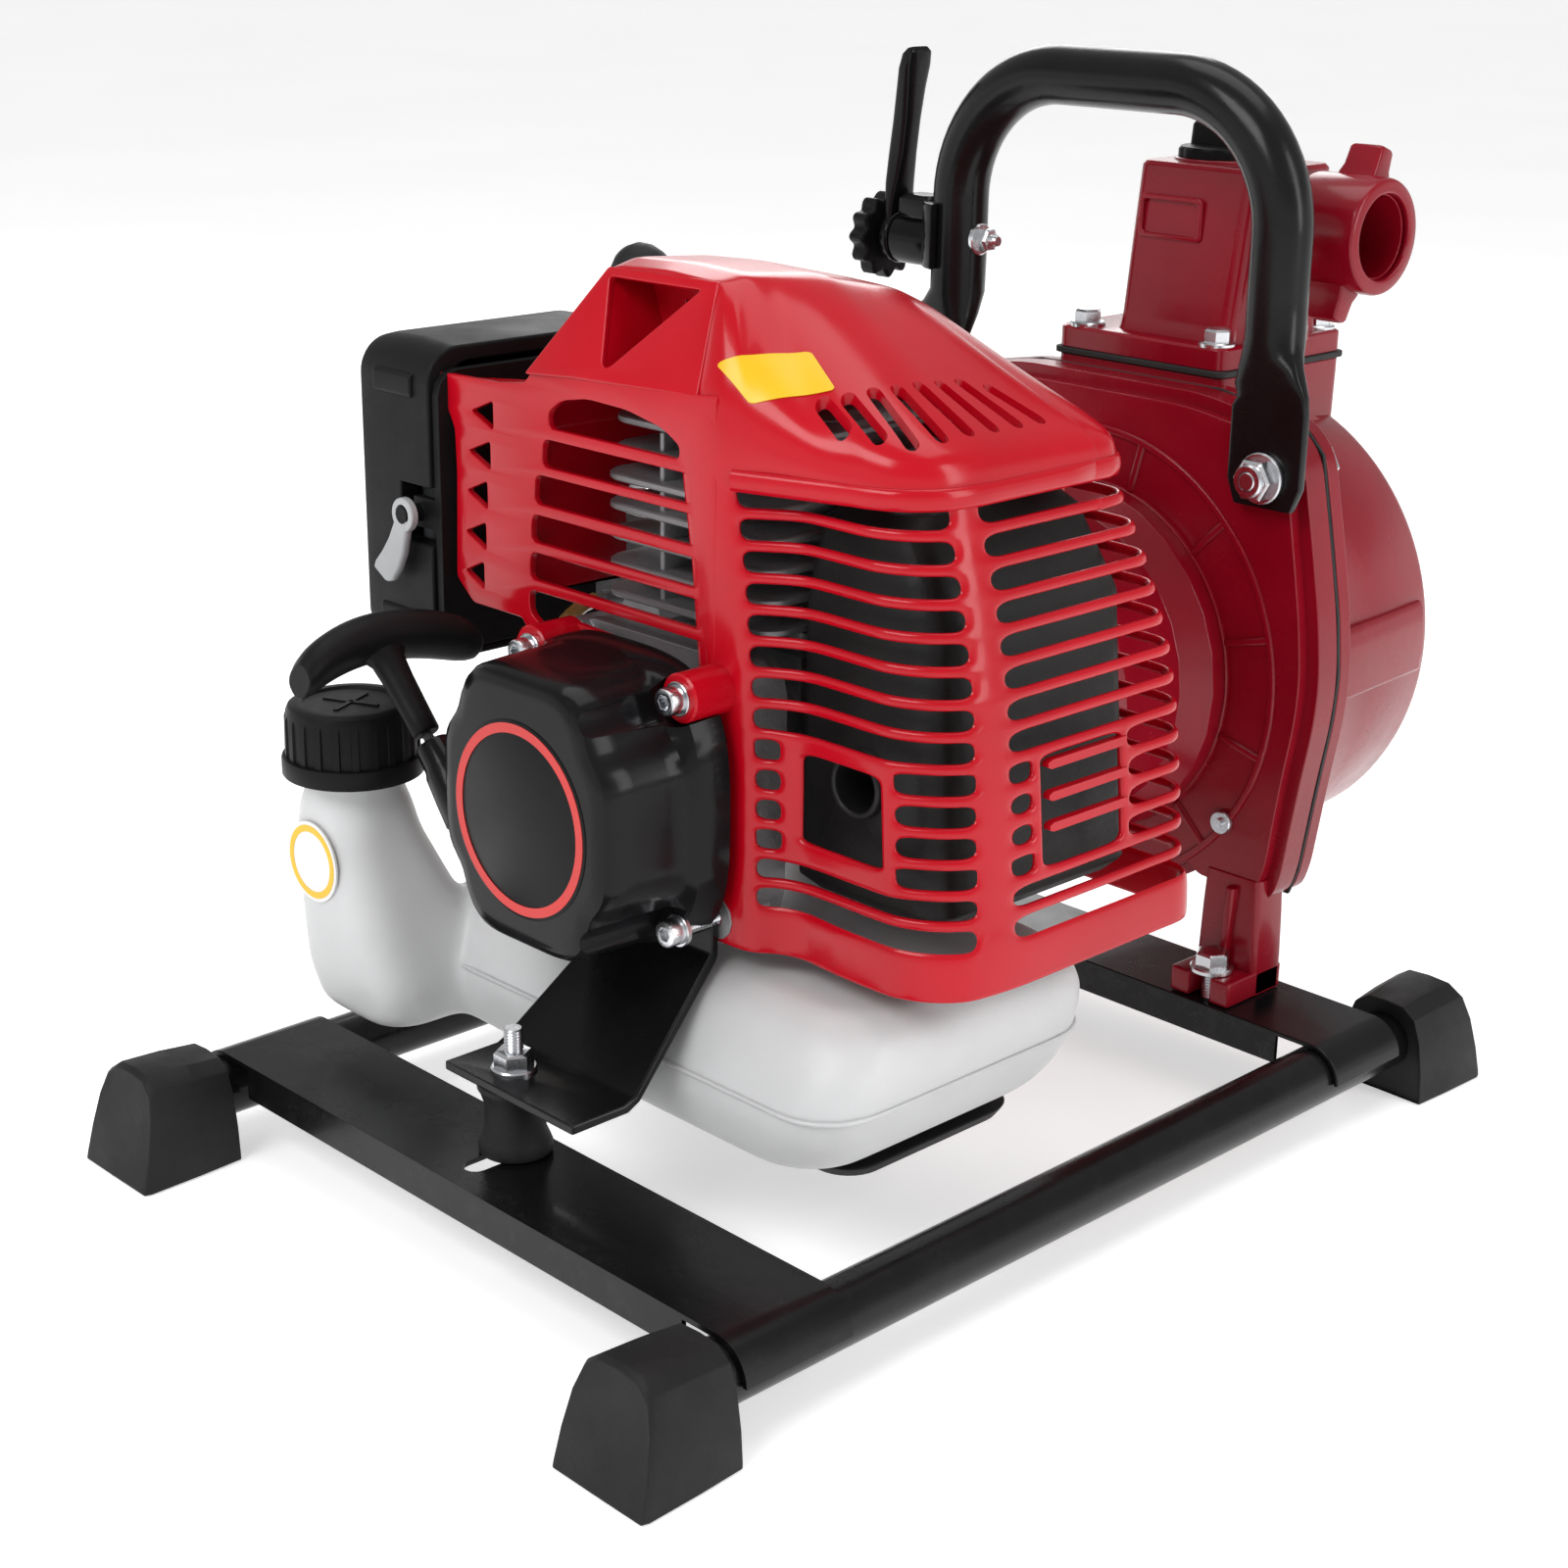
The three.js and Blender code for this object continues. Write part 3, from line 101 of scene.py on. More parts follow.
class Nodes:
    """Short way to lay out shader nodes."""

    def __init__(self, name, slot=None):
        self.material = bpy.data.materials.new(name)
        self.material.use_nodes = True
        self.tree = self.material.node_tree
        self.bsdf = self.tree.nodes["Principled BSDF"]
        self.coords = self.tree.nodes.new("ShaderNodeTexCoord")

    def node(self, kind, **values):
        made = self.tree.nodes.new("ShaderNode" + kind)
        for key, value in values.items():
            if key in made.inputs:
                made.inputs[key].default_value = value
            else:
                setattr(made, key, value)
        return made

    def link(self, a, b):
        self.tree.links.new(a, b)

    def noise(self, scale, detail, rough=0.55):
        made = self.node("TexNoise", Scale=scale, Detail=detail, Roughness=rough)
        self.link(self.coords.outputs["Object"], made.inputs["Vector"])
        return made.outputs["Fac"]

    def ramp(self, source, low, high, start=0.35, end=0.65):
        made = self.node("ValToRGB")
        made.color_ramp.elements[0].position = start
        made.color_ramp.elements[1].position = end
        made.color_ramp.elements[0].color = low
        made.color_ramp.elements[1].color = high
        self.link(source, made.inputs["Fac"])
        return made.outputs["Color"]

    def span(self, source, low, high):
        made = self.node("MapRange", **{"From Min": 0.3, "From Max": 0.7, "To Min": low,
            "To Max": high})
        self.link(source, made.inputs["Value"])
        return made.outputs["Result"]

    def bump(self, source, strength, distance, under=None):
        made = self.node("Bump", Strength=strength, Distance=distance)
        self.link(source, made.inputs["Height"])
        if under is not None:
            self.link(under, made.inputs["Normal"])
        return made.outputs["Normal"]


def grey(value):
    return (value, value, value, 1)


def finish_material(name, slot, low, high, rough, grain, grain_scale, metallic=0.0, coat=0.0,
        specular=0.5, wear=None, orange=0.0, subsurface=0.0):
    """Mottled colour, uneven gloss, fine grain and optional pale wear on exposed edges."""
    n = Nodes(name, slot)
    colour = n.ramp(n.noise(14, 5), (*low, 1), (*high, 1))
    if wear is not None:
        geometry = n.node("NewGeometry")
        edges = n.ramp(geometry.outputs["Pointiness"], grey(0), grey(1), 0.53, 0.62)
        spots = n.ramp(n.noise(160, 6, 0.7), grey(0), grey(1), 0.5, 0.66)
        both = n.node("MixRGB", blend_type="MULTIPLY", Fac=1.0)
        n.link(edges, both.inputs["Color1"])
        n.link(spots, both.inputs["Color2"])
        mixed = n.node("MixRGB", Color2=(*wear, 1))
        n.link(both.outputs["Color"], mixed.inputs["Fac"])
        n.link(colour, mixed.inputs["Color1"])
        colour = mixed.outputs["Color"]
    n.link(colour, n.bsdf.inputs["Base Color"])
    n.link(n.span(n.noise(55, 5, 0.65), rough[0], rough[1]), n.bsdf.inputs["Roughness"])
    normal = n.bump(n.noise(grain_scale, 3, 0.6), grain, 0.0004)
    if orange:
        normal = n.bump(n.noise(240, 1.5, 0.4), orange, 0.0006, normal)
    n.link(normal, n.bsdf.inputs["Normal"])
    n.bsdf.inputs["Metallic"].default_value = metallic
    n.bsdf.inputs["Coat Weight"].default_value = coat
    n.bsdf.inputs["Coat Roughness"].default_value = 0.06
    n.bsdf.inputs["Specular IOR Level"].default_value = specular
    if subsurface:
        n.bsdf.inputs["Subsurface Weight"].default_value = subsurface
        n.bsdf.inputs["Subsurface Radius"].default_value = (1.0, 0.95, 0.9)
        n.bsdf.inputs["Subsurface Scale"].default_value = 0.012
    return n.material


red_plastic = finish_material("red_plastic", "red_plastic", (0.42, 0.001, 0.008),
    (0.49, 0.002, 0.012), (0.16, 0.26), 0.05, 900, coat=0.08, specular=0.28)
red_paint = finish_material("red_paint", "red_paint", (0.2, 0.001, 0.008), (0.26, 0.003, 0.013),
    (0.18, 0.3), 0.06, 500, coat=0.12, specular=0.28, orange=0.1, wear=(0.3, 0.012, 0.02))
black_paint = finish_material("black_paint", "black_paint", (0.004, 0.004, 0.0044),
    (0.0065, 0.0065, 0.007), (0.2, 0.3), 0.05, 700, coat=0.06, specular=0.2, orange=0.06,
    wear=(0.014, 0.014, 0.015))
black_plastic = finish_material("black_plastic", "black_plastic", (0.004, 0.004, 0.0045),
    (0.009, 0.009, 0.01), (0.14, 0.24), 0.04, 900, coat=0.05, specular=0.14)
satin_plastic = finish_material("satin_plastic", "matte_plastic", (0.0045, 0.0045, 0.0048),
    (0.009, 0.009, 0.0095), (0.38, 0.52), 0.22, 1500, specular=0.12)
rubber = finish_material("rubber", "black_rubber", (0.006, 0.006, 0.0063), (0.012, 0.012, 0.0125),
    (0.5, 0.66), 0.25, 1300, specular=0.25, wear=(0.024, 0.024, 0.024))
zinc = finish_material("zinc", "zinc", (0.56, 0.57, 0.60), (0.74, 0.75, 0.77), (0.16, 0.32), 0.08,
    900, metallic=1.0, wear=(0.85, 0.86, 0.88))
steel = finish_material("steel", "steel", (0.4, 0.41, 0.43), (0.55, 0.56, 0.58), (0.25, 0.4), 0.1,
    900, metallic=1.0)
casting = finish_material("casting", "cast_aluminium", (0.30, 0.30, 0.31), (0.42, 0.42, 0.43),
    (0.45, 0.62), 0.5, 900, metallic=0.85, orange=0.25)
muffler_black = finish_material("muffler_black", "black_steel", (0.006, 0.006, 0.006),
    (0.013, 0.012, 0.012), (0.42, 0.6), 0.3, 900, metallic=0.3)
tank_white = finish_material("tank_white", "tank_plastic", (0.56, 0.565, 0.57), (0.63, 0.635, 0.64),
    (0.34, 0.48), 0.14, 800, subsurface=0.35, specular=0.45)
grey_plastic = finish_material("grey_plastic", "grey_plastic", (0.30, 0.31, 0.32),
    (0.42, 0.43, 0.44), (0.25, 0.4), 0.1, 700)
foam = finish_material("foam", "foam", (0.05, 0.052, 0.055), (0.1, 0.105, 0.11), (0.8, 0.95), 1.0,
    500)
hose = finish_material("hose", "hose", (0.32, 0.16, 0.04), (0.44, 0.26, 0.09), (0.2, 0.34), 0.1,
    500, coat=0.2)
gasket_black = finish_material("gasket_black", "gasket", (0.008, 0.008, 0.008), (0.02, 0.02, 0.02),
    (0.6, 0.8), 0.4, 1200)
rope_black = finish_material("rope_black", "rope", (0.02, 0.02, 0.022), (0.05, 0.05, 0.055),
    (0.7, 0.9), 0.8, 2200)
label_black = finish_material("label_black", None, (0.004, 0.004, 0.0045), (0.007, 0.007, 0.0075),
    (0.28, 0.4), 0.05, 700, specular=0.14)
label_red = finish_material("label_red", None, (0.52, 0.015, 0.012), (0.6, 0.02, 0.016),
    (0.3, 0.42), 0.05, 700)
label_white = finish_material("label_white", None, (0.72, 0.72, 0.72), (0.8, 0.8, 0.8), (0.35, 0.5),
    0.05, 700)
label_yellow = finish_material("label_yellow", None, (0.72, 0.42, 0.0), (0.82, 0.50, 0.004),
    (0.3, 0.42), 0.05, 700)

# ------------------------------------------------------------------ mesh helpers


def finish(mesh_object, material, body="chassis", node=None, slot=None, smooth=40, bevel=0.0,
        segments=2, subsurf=0):
    """Gives a piece its material, its modifiers and its place in the machine."""
    mesh = mesh_object.data
    mesh.materials.clear()
    mesh.materials.append(material)
    for polygon in mesh.polygons:
        polygon.use_smooth = True
    if bevel:
        modifier = mesh_object.modifiers.new("bevel", "BEVEL")
        modifier.width = bevel / 1000
        modifier.segments = segments
        modifier.limit_method = "ANGLE"
        modifier.angle_limit = math.radians(BEVEL_ANGLE)
        modifier.harden_normals = False
    if subsurf:
        modifier = mesh_object.modifiers.new("subsurf", "SUBSURF")
        modifier.levels = modifier.render_levels = subsurf
    if smooth and not subsurf:
        mesh.set_sharp_from_angle(angle=math.radians(smooth))
    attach(mesh_object, body)
    if node:
        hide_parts(node)
    return mesh_object


def add_object(name, data):
    made = bpy.data.objects.new(name, data)
    scene.collection.objects.link(made)
    return made


def cleaned(mesh, merge=True):
    """Joins doubled points and turns the faces outwards."""
    work = bmesh.new()
    work.from_mesh(mesh)
    if merge:
        bmesh.ops.remove_doubles(work, verts=work.verts, dist=MERGE_DISTANCE)
    bmesh.ops.recalc_face_normals(work, faces=work.faces)
    work.to_mesh(mesh)
    work.free()
    return mesh


def mesh_from(name, verts, faces):
    mesh = bpy.data.meshes.new(name)
    mesh.from_pydata([pt(*v) for v in verts], [], faces)
    return add_object(name, cleaned(mesh))


def turns(count):
    """Cosine and sine of equal steps round a circle."""
    angles = [2 * math.pi * i / count for i in range(count)]
    return [(math.cos(a), math.sin(a)) for a in angles]


def signed_power(value, power):
    """Raises the size of a value to a power and keeps its sign."""
    return math.copysign(abs(value) ** power, value)


def hexagon_reach(angle):
    """Distance from a unit hexagon's centre to its edge."""
    return math.cos(math.pi / 6) / math.cos((angle % (math.pi / 3)) - math.pi / 6)


def loft(name, rows, cap=True):
    """Skin through rows of equal length; ends are filled when cap is set."""
    count = len(rows[0])
    verts = [v for row in rows for v in row]
    faces = []
    for i in range(len(rows) - 1):
        for j in range(count):
            k = (j + 1) % count
            faces.append((i * count + j, i * count + k, (i + 1) * count + k, (i + 1) * count + j))
    if cap:
        faces.append(tuple(range(count)))
        faces.append(tuple(range((len(rows) - 1) * count, len(rows) * count)))
    return mesh_from(name, verts, faces)


def place(axis, u, v, w):
    """A point with in-plane coordinates u, v and w along the axis."""
    return {"x": (w, u, v), "y": (u, w, v), "z": (u, v, w)}[axis]


def prism(name, outline, axis, low, high):
    return loft(name, [[place(axis, u, v, w) for u, v in outline] for w in (low, high)])


def lathe(name, profile, axis, centre, segments=64):
    """Solid of revolution: profile is a closed loop of (radius, distance) pairs."""
    rows = []
    for r, h in profile:
        ring = [place(axis, r * c, r * s, h) for c, s in turns(segments)]
        rows.append([tuple(p + q for p, q in zip(spot, centre)) for spot in ring])
    closed = profile[0][0] > 1e-6 and profile[-1][0] > 1e-6
    if closed:
        rows.append(rows[0])
    return loft(name, rows, cap=False)


def sweep(name, path, section):
    """Carries an upright closed section along a path."""
    pts = [Vector(p) for p in path]
    rows = []
    for i, p in enumerate(pts):
        along = (pts[min(i + 1, len(pts) - 1)] - pts[max(i - 1, 0)]).normalized()
        across = along.cross(Vector((0, 0, 1))).normalized()
        rise = across.cross(along).normalized()
        rows.append([tuple(p + across * u + rise * v) for u, v in section])
    return loft(name, rows)


def rounded(x0, x1, y0, y1, r, steps=6):
    out = []
    for cx, cy, start in ((x1 - r, y1 - r, 0), (x0 + r, y1 - r, 90), (x0 + r, y0 + r, 180),
            (x1 - r, y0 + r, 270)):
        for i in range(steps + 1):
            a = math.radians(start + 90 * i / steps)
            out.append((cx + r * math.cos(a), cy + r * math.sin(a)))
    return out


def evaluated_mesh(piece):
    graph = bpy.context.evaluated_depsgraph_get()
    return bpy.data.meshes.new_from_object(piece.evaluated_get(graph), depsgraph=graph)


def settle(piece):
    """Applies the piece's modifiers to its mesh."""
    mesh = evaluated_mesh(piece)
    piece.modifiers.clear()
    old = piece.data
    piece.data = mesh
    bpy.data.meshes.remove(old)
    return piece


def carve(piece, *tools):
    """Cuts throw-away tools out of a piece."""
    for tool in tools:
        modifier = piece.modifiers.new("cut", "BOOLEAN")
        modifier.operation = "DIFFERENCE"
        modifier.solver = "EXACT"
        modifier.object = tool
    bpy.context.view_layer.update()
    settle(piece)
    for tool in tools:
        bpy.data.objects.remove(tool)
    return piece


def fuse(name, pieces):
    """Several closed shapes as one object with separate shells."""
    work = bmesh.new()
    for piece in pieces:
        work.from_mesh(piece.data)
        bpy.data.objects.remove(piece)
    mesh = bpy.data.meshes.new(name)
    work.to_mesh(mesh)
    work.free()
    return add_object(name, mesh)


def assemble(node, pieces, material, body="chassis", **options):
    """Several closed shapes that stand for one node."""
    finish(fuse(node + "_form", pieces), material, body, node, **options)


def melt(piece, voxel, rounds):
    """Blends overlapping shells into one moulded skin."""
    modifier = piece.modifiers.new("remesh", "REMESH")
    modifier.mode = "VOXEL"
    modifier.voxel_size = voxel / 1000
    modifier = piece.modifiers.new("smooth", "SMOOTH")
    modifier.iterations = rounds
    modifier.factor = 0.5
    bpy.context.view_layer.update()
    return settle(piece)


def table(rows, key):
    """Linear interpolation in a short table of (key, value)."""
    if key <= rows[0][0]:
        return rows[0][1]
    for (a, va), (b, vb) in zip(rows, rows[1:]):
        if key <= b:
            return va + (vb - va) * (key - a) / (b - a)
    return rows[-1][1]


def threads(axis, centre, radius, low, high, segments):
    """Shaft with rings standing for a screw thread."""
    profile = [(0, low), (radius - 0.5, low)]
    h = low
    while h + THREAD_PITCH <= high:
        profile += [(radius - 0.45, h), (radius, h + THREAD_PITCH * 0.5)]
        h += THREAD_PITCH
    profile += [(radius - 0.5, high), (0, high)]
    return lathe("thread", profile, axis, centre, segments)


def softened(node, material, body="chassis", bevel=0.5, segments=2, flat=2.0):
    """The node's own form with its facets merged and its edges rounded over."""
    source = NODE_OBJECTS[node]
    work = bmesh.new()
    work.from_mesh(source.data)
    work.transform(source.matrix_world)
    bmesh.ops.remove_doubles(work, verts=work.verts, dist=2e-5)
    bmesh.ops.dissolve_limit(work, angle_limit=math.radians(flat), verts=work.verts,
        edges=work.edges)
    mesh = bpy.data.meshes.new(node + "_form")
    work.to_mesh(mesh)
    work.free()
    made = add_object(node + "_form", mesh)
    finish(made, material, body, node, smooth=35, bevel=bevel, segments=segments)


# ------------------------------------------------------------------ stage
def build_stage():
    floor_mesh = bpy.data.meshes.new("floor")
    work = bmesh.new()
    bmesh.ops.create_grid(work, x_segments=2, y_segments=2, size=30)
    work.to_mesh(floor_mesh)
    work.free()
    floor = add_object("floor", floor_mesh)
    floor.location = (0, 0, -0.0004)
    n = Nodes("floor_pale")
    n.link(n.ramp(n.noise(3, 3), grey(0.86), grey(0.9)), n.bsdf.inputs["Base Color"])
    n.bsdf.inputs["Roughness"].default_value = 0.7
    n.bsdf.inputs["Emission Color"].default_value = (1, 1, 1, 1)
    n.bsdf.inputs["Emission Strength"].default_value = 0.5
    floor_mesh.materials.append(n.material)
    world = bpy.data.worlds.new("studio")
    scene.world = world
    world.use_nodes = True
    # The room is white at the horizon and dims overhead.
    sky = world.node_tree
    direction = sky.nodes.new("ShaderNodeTexCoord")
    split = sky.nodes.new("ShaderNodeSeparateXYZ")
    dim = sky.nodes.new("ShaderNodeMapRange")
    dim.inputs["From Min"].default_value = 0.12
    dim.inputs["From Max"].default_value = 0.28
    dim.inputs["To Min"].default_value = 1.0
    dim.inputs["To Max"].default_value = 0.42
    sky.links.new(direction.outputs["Generated"], split.inputs["Vector"])
    sky.links.new(split.outputs["Z"], dim.inputs["Value"])
    sky.links.new(dim.outputs["Result"], sky.nodes["Background"].inputs["Strength"])
    sky.nodes["Background"].inputs["Color"].default_value = (1, 1, 1, 1)
    for name, spot, target, size, power in (("key", (0.1, -1.5, 1.5), (0, 0, 0.15), (1.2, 0.8), 19),
            ("fill_right", (1.7, 0.5, 0.9), (0, 0, 0.15), (0.5, 1.4), 11),
            ("top", (-0.1, 0.3, 1.9), (0, 0, 0.1), (1.6, 1.0), 11),
            ("rim", (-1.2, 1.3, 1.0), (0, 0, 0.15), (0.8, 0.8), 7)):
        data = bpy.data.lights.new(name, "AREA")
        data.shape = "RECTANGLE"
        data.size, data.size_y = size
        data.energy = power
        lamp = add_object(name, data)
        lamp.location = spot
        lamp.rotation_euler = (Vector(target) - Vector(spot)).to_track_quat("-Z", "Y").to_euler()


build_stage()

# ------------------------------------------------------------------ skid
for node in ("side_rail_left", "side_rail_right"):
    softened(node, black_paint, bevel=0.3)
for node in ("crossbar_front", "crossbar_rear"):
    softened(node, black_paint, bevel=0.5, segments=3)


FOOT_ARCH = [(-1, 0), (-1, 0.06), (-0.96, 0.34), (-0.86, 0.66), (-0.7, 0.88), (-0.42, 0.985),
    (0, 1), (0.42, 0.985), (0.7, 0.88), (0.86, 0.66), (0.96, 0.34), (1, 0.06), (1, 0), (0, 0)]


def foot(side, end, node):
    """Moulded rubber cap with a flat base, an arched top and a leaning outer end."""
    def section(y, lean, half, height, grow):
        row = []
        for u, v in FOOT_ARCH:
            z = v * height
            row.append((side * 120.5 + u * half * grow, end * (y - lean * z), max(z * grow, 0)))
        return row
    rows = [section(162.5, 0.0, 17.0, 33.5, 0.9), section(161, 0.0, 17.3, 34.2, 1),
        section(177, 0.1, 18.3, 35.4, 1), section(195.5, 0.21, 18.9, 36, 1),
        section(197.6, 0.22, 18.8, 35.8, 0.97), section(198, 0.225, 18.4, 35.4, 0.9)]
    made = loft(node + "_cap", rows)
    finish(made, rubber, node=node, bevel=1.6, segments=4, smooth=50)


foot(-1, -1, "foot_front_left")
foot(1, -1, "foot_front_right")
foot(-1, 1, "foot_rear_left")
foot(1, 1, "foot_rear_right")

# ------------------------------------------------------------------ flat plates
def eased(points, radius, steps=5):
    """Polygon with every corner rounded."""
    out = []
    n = len(points)
    for i in range(n):
        a, b, c = (Vector(points[(i + k - 1) % n]) for k in range(3))
        one, two = (a - b), (c - b)
        r = min(radius, one.length * 0.45, two.length * 0.45)
        start, end = b + one.normalized() * r, b + two.normalized() * r
        for k in range(steps + 1):
            t = k / steps
            out.append(tuple(start * (1 - t) ** 2 + b * 2 * t * (1 - t) + end * t ** 2))
    return out


def plate(name, outline, holes, origin, u, v, depth, edge=0.5):
    """Flat moulding with rounded edges: 2-D outline and holes laid on the plane of u and v.
    Its front face is on the plane and its thickness goes away from u x v."""
    curve = bpy.data.curves.new(name, "CURVE")
    curve.dimensions = "2D"
    curve.fill_mode = "BOTH"
    for loop in [outline] + holes:
        line = curve.splines.new("POLY")
        line.points.add(len(loop) - 1)
        for point, (x, y) in zip(line.points, loop):
            point.co = (x, y, 0, 1)
        line.use_cyclic_u = True
    curve.extrude = depth / 2 - edge
    curve.bevel_depth = edge
    curve.bevel_resolution = 2
    curve.offset = -edge
    temp = add_object(name, curve)
    bpy.context.view_layer.update()
    mesh = evaluated_mesh(temp)
    bpy.data.objects.remove(temp)
    u, v = Vector(u).normalized(), Vector(v).normalized()
    n = u.cross(v).normalized()
    for vertex in mesh.vertices:
        p = vertex.co.copy()
        vertex.co = pt(*(Vector(origin) + u * p.x + v * p.y + n * (p.z - depth / 2)))
    return add_object(name, cleaned(mesh))


# ------------------------------------------------------------------ engine shroud
RIBS = [229 - 9.2 * k for k in range(13)]
LIP_Z = 237.0
SIDE_X = [(97, 118), (118.8, 118), (128, 117.5), (155, 115), (182.4, 112), (209.6, 106),
    (227, 100.5), (237, 97.5)]
REAR_Y = [(102, 49.8), (128, 48.8), (164, 47.7), (182.4, 45.2), (200.6, 41.4), (218.5, 36.8),
    (237, 31)]
FRONT_Y = [(97, -66.5), (132, -66.5), (165, -65.5), (200, -64), (237, -62.5)]
SLOT_X = [(97, 43.2), (122, 42.9), (155, 42), (180, 40), (210, 37), (238, 32.5)]
PLANE_Y = -76.05


def cage_outline(z, proud=0.0):
    """Plan of the cage at one height, from the hood's plane round to the rear wall."""
    side = table(SIDE_X, z) + proud
    front = table(FRONT_Y, z) - proud
    rear = table(REAR_Y, z) + proud
    start = table(SLOT_X, z)
    radius = 26.0
    ax, ay = side - radius, front + radius

    def corner(angle):
        t = math.radians(angle)
        return (ax + radius * math.cos(t), ay - radius * math.sin(t))

    a5 = start + 19.5
    a8 = corner(84)[0]
    points = [(start - 16, PLANE_Y - proud), (start + 1.5, PLANE_Y - proud),
        (start + 6, -74.0 - proud), (start + 9.2, -71.2 - proud), (start + 12.2, -68.9 - proud),
        (a5, front - 0.1)]
    points += [(a5 + (a8 - a5) / 3, front), (a5 + (a8 - a5) * 2 / 3, front)]
    points += [corner(a) for a in (84, 74, 60, 46, 33, 21)]
    points += [(side, -35.5), (side, -26.5), (side, -23), (side, -10), (side, 2), (side, 12.8),
        (side, 16.5), (side - 0.2, rear - 19)]
    points += [(side - 11 + 11 * math.cos(math.radians(a)), rear - 11 + 11
        * math.sin(math.radians(a))) for a in (0, 25, 50, 75)]
    points += [(side - 16, rear), (side - 24, rear), (side - 34, rear), (58, rear + 0.1),
        (45, rear + 0.4)]
    return points


def visor(proud):
    """Plan of the dome's lip: straight from the hood's face to the corner, then round the cage."""
    line = cage_outline(LIP_Z + 2.5, proud)
    (xa, ya), (xb, yb) = line[1], line[8]
    for i in range(2, 8):
        x = line[i][0]
        line[i] = (x, ya + (yb - ya) * (x - xa) / (xb - xa))
    return line


SLOT_FIRST, POST_FIRST, POST_LAST, SLOT_LAST = 2, 13, 14, 28
BAR_LEFT, BAR_RIGHT = 4, 8  # the outlet frame's upright bars begin at these columns
SIDE_BARS = (15, 19)


def cage_rows():
    rows = [96.0, 97.4, 111.6]
    for z in sorted(RIBS):
        rows += [z - 1.75, z + 1.75]
        if abs(z - 127.8) < 0.1:
            rows.append(133.8)
        if abs(z - 155.4) < 0.1:
            rows.append(160.6)
    rows += [LIP_Z]
    return rows


def cage_open(column, low, high):
    """True where the moulding has no material between two rows."""
    if low < 111 or column < SLOT_FIRST or column >= SLOT_LAST or POST_FIRST <= column < POST_LAST:
        return False
    middle = (low + high) / 2
    rib = any(abs(middle - z) < 1.6 for z in RIBS)
    if BAR_LEFT <= column < BAR_RIGHT + 1 and 126 < middle < 166.3:
        inside = 133.8 < middle < 160.6
        if column in (BAR_LEFT, BAR_RIGHT):
            return False
        return inside
    if SIDE_BARS[0] <= column <= SIDE_BARS[1] and 129 < middle < 163:
        if column in SIDE_BARS:
            return False
        return True
    return not rib


def crest(s):
    """Left x, right x, y and z of the dome's ridge; s is 0 at the front edge and 1 at the rear."""
    right = [(0, 18), (0.15, 21), (0.4, 23), (0.7, 20), (0.85, 15), (1, 6)]
    left = [(0, -29), (0.15, -31), (0.4, -32), (0.7, -28), (0.85, -22), (1, -12)]
    y = [(0, -62), (0.15, -52), (0.4, -24), (0.7, 10), (0.85, 24), (1, 32)]
    z = [(0, 290.5), (0.15, 292.5), (0.4, 290.5), (0.7, 283), (0.85, 278), (1, 274)]
    return table(left, s), table(right, s), table(y, s), table(z, s)


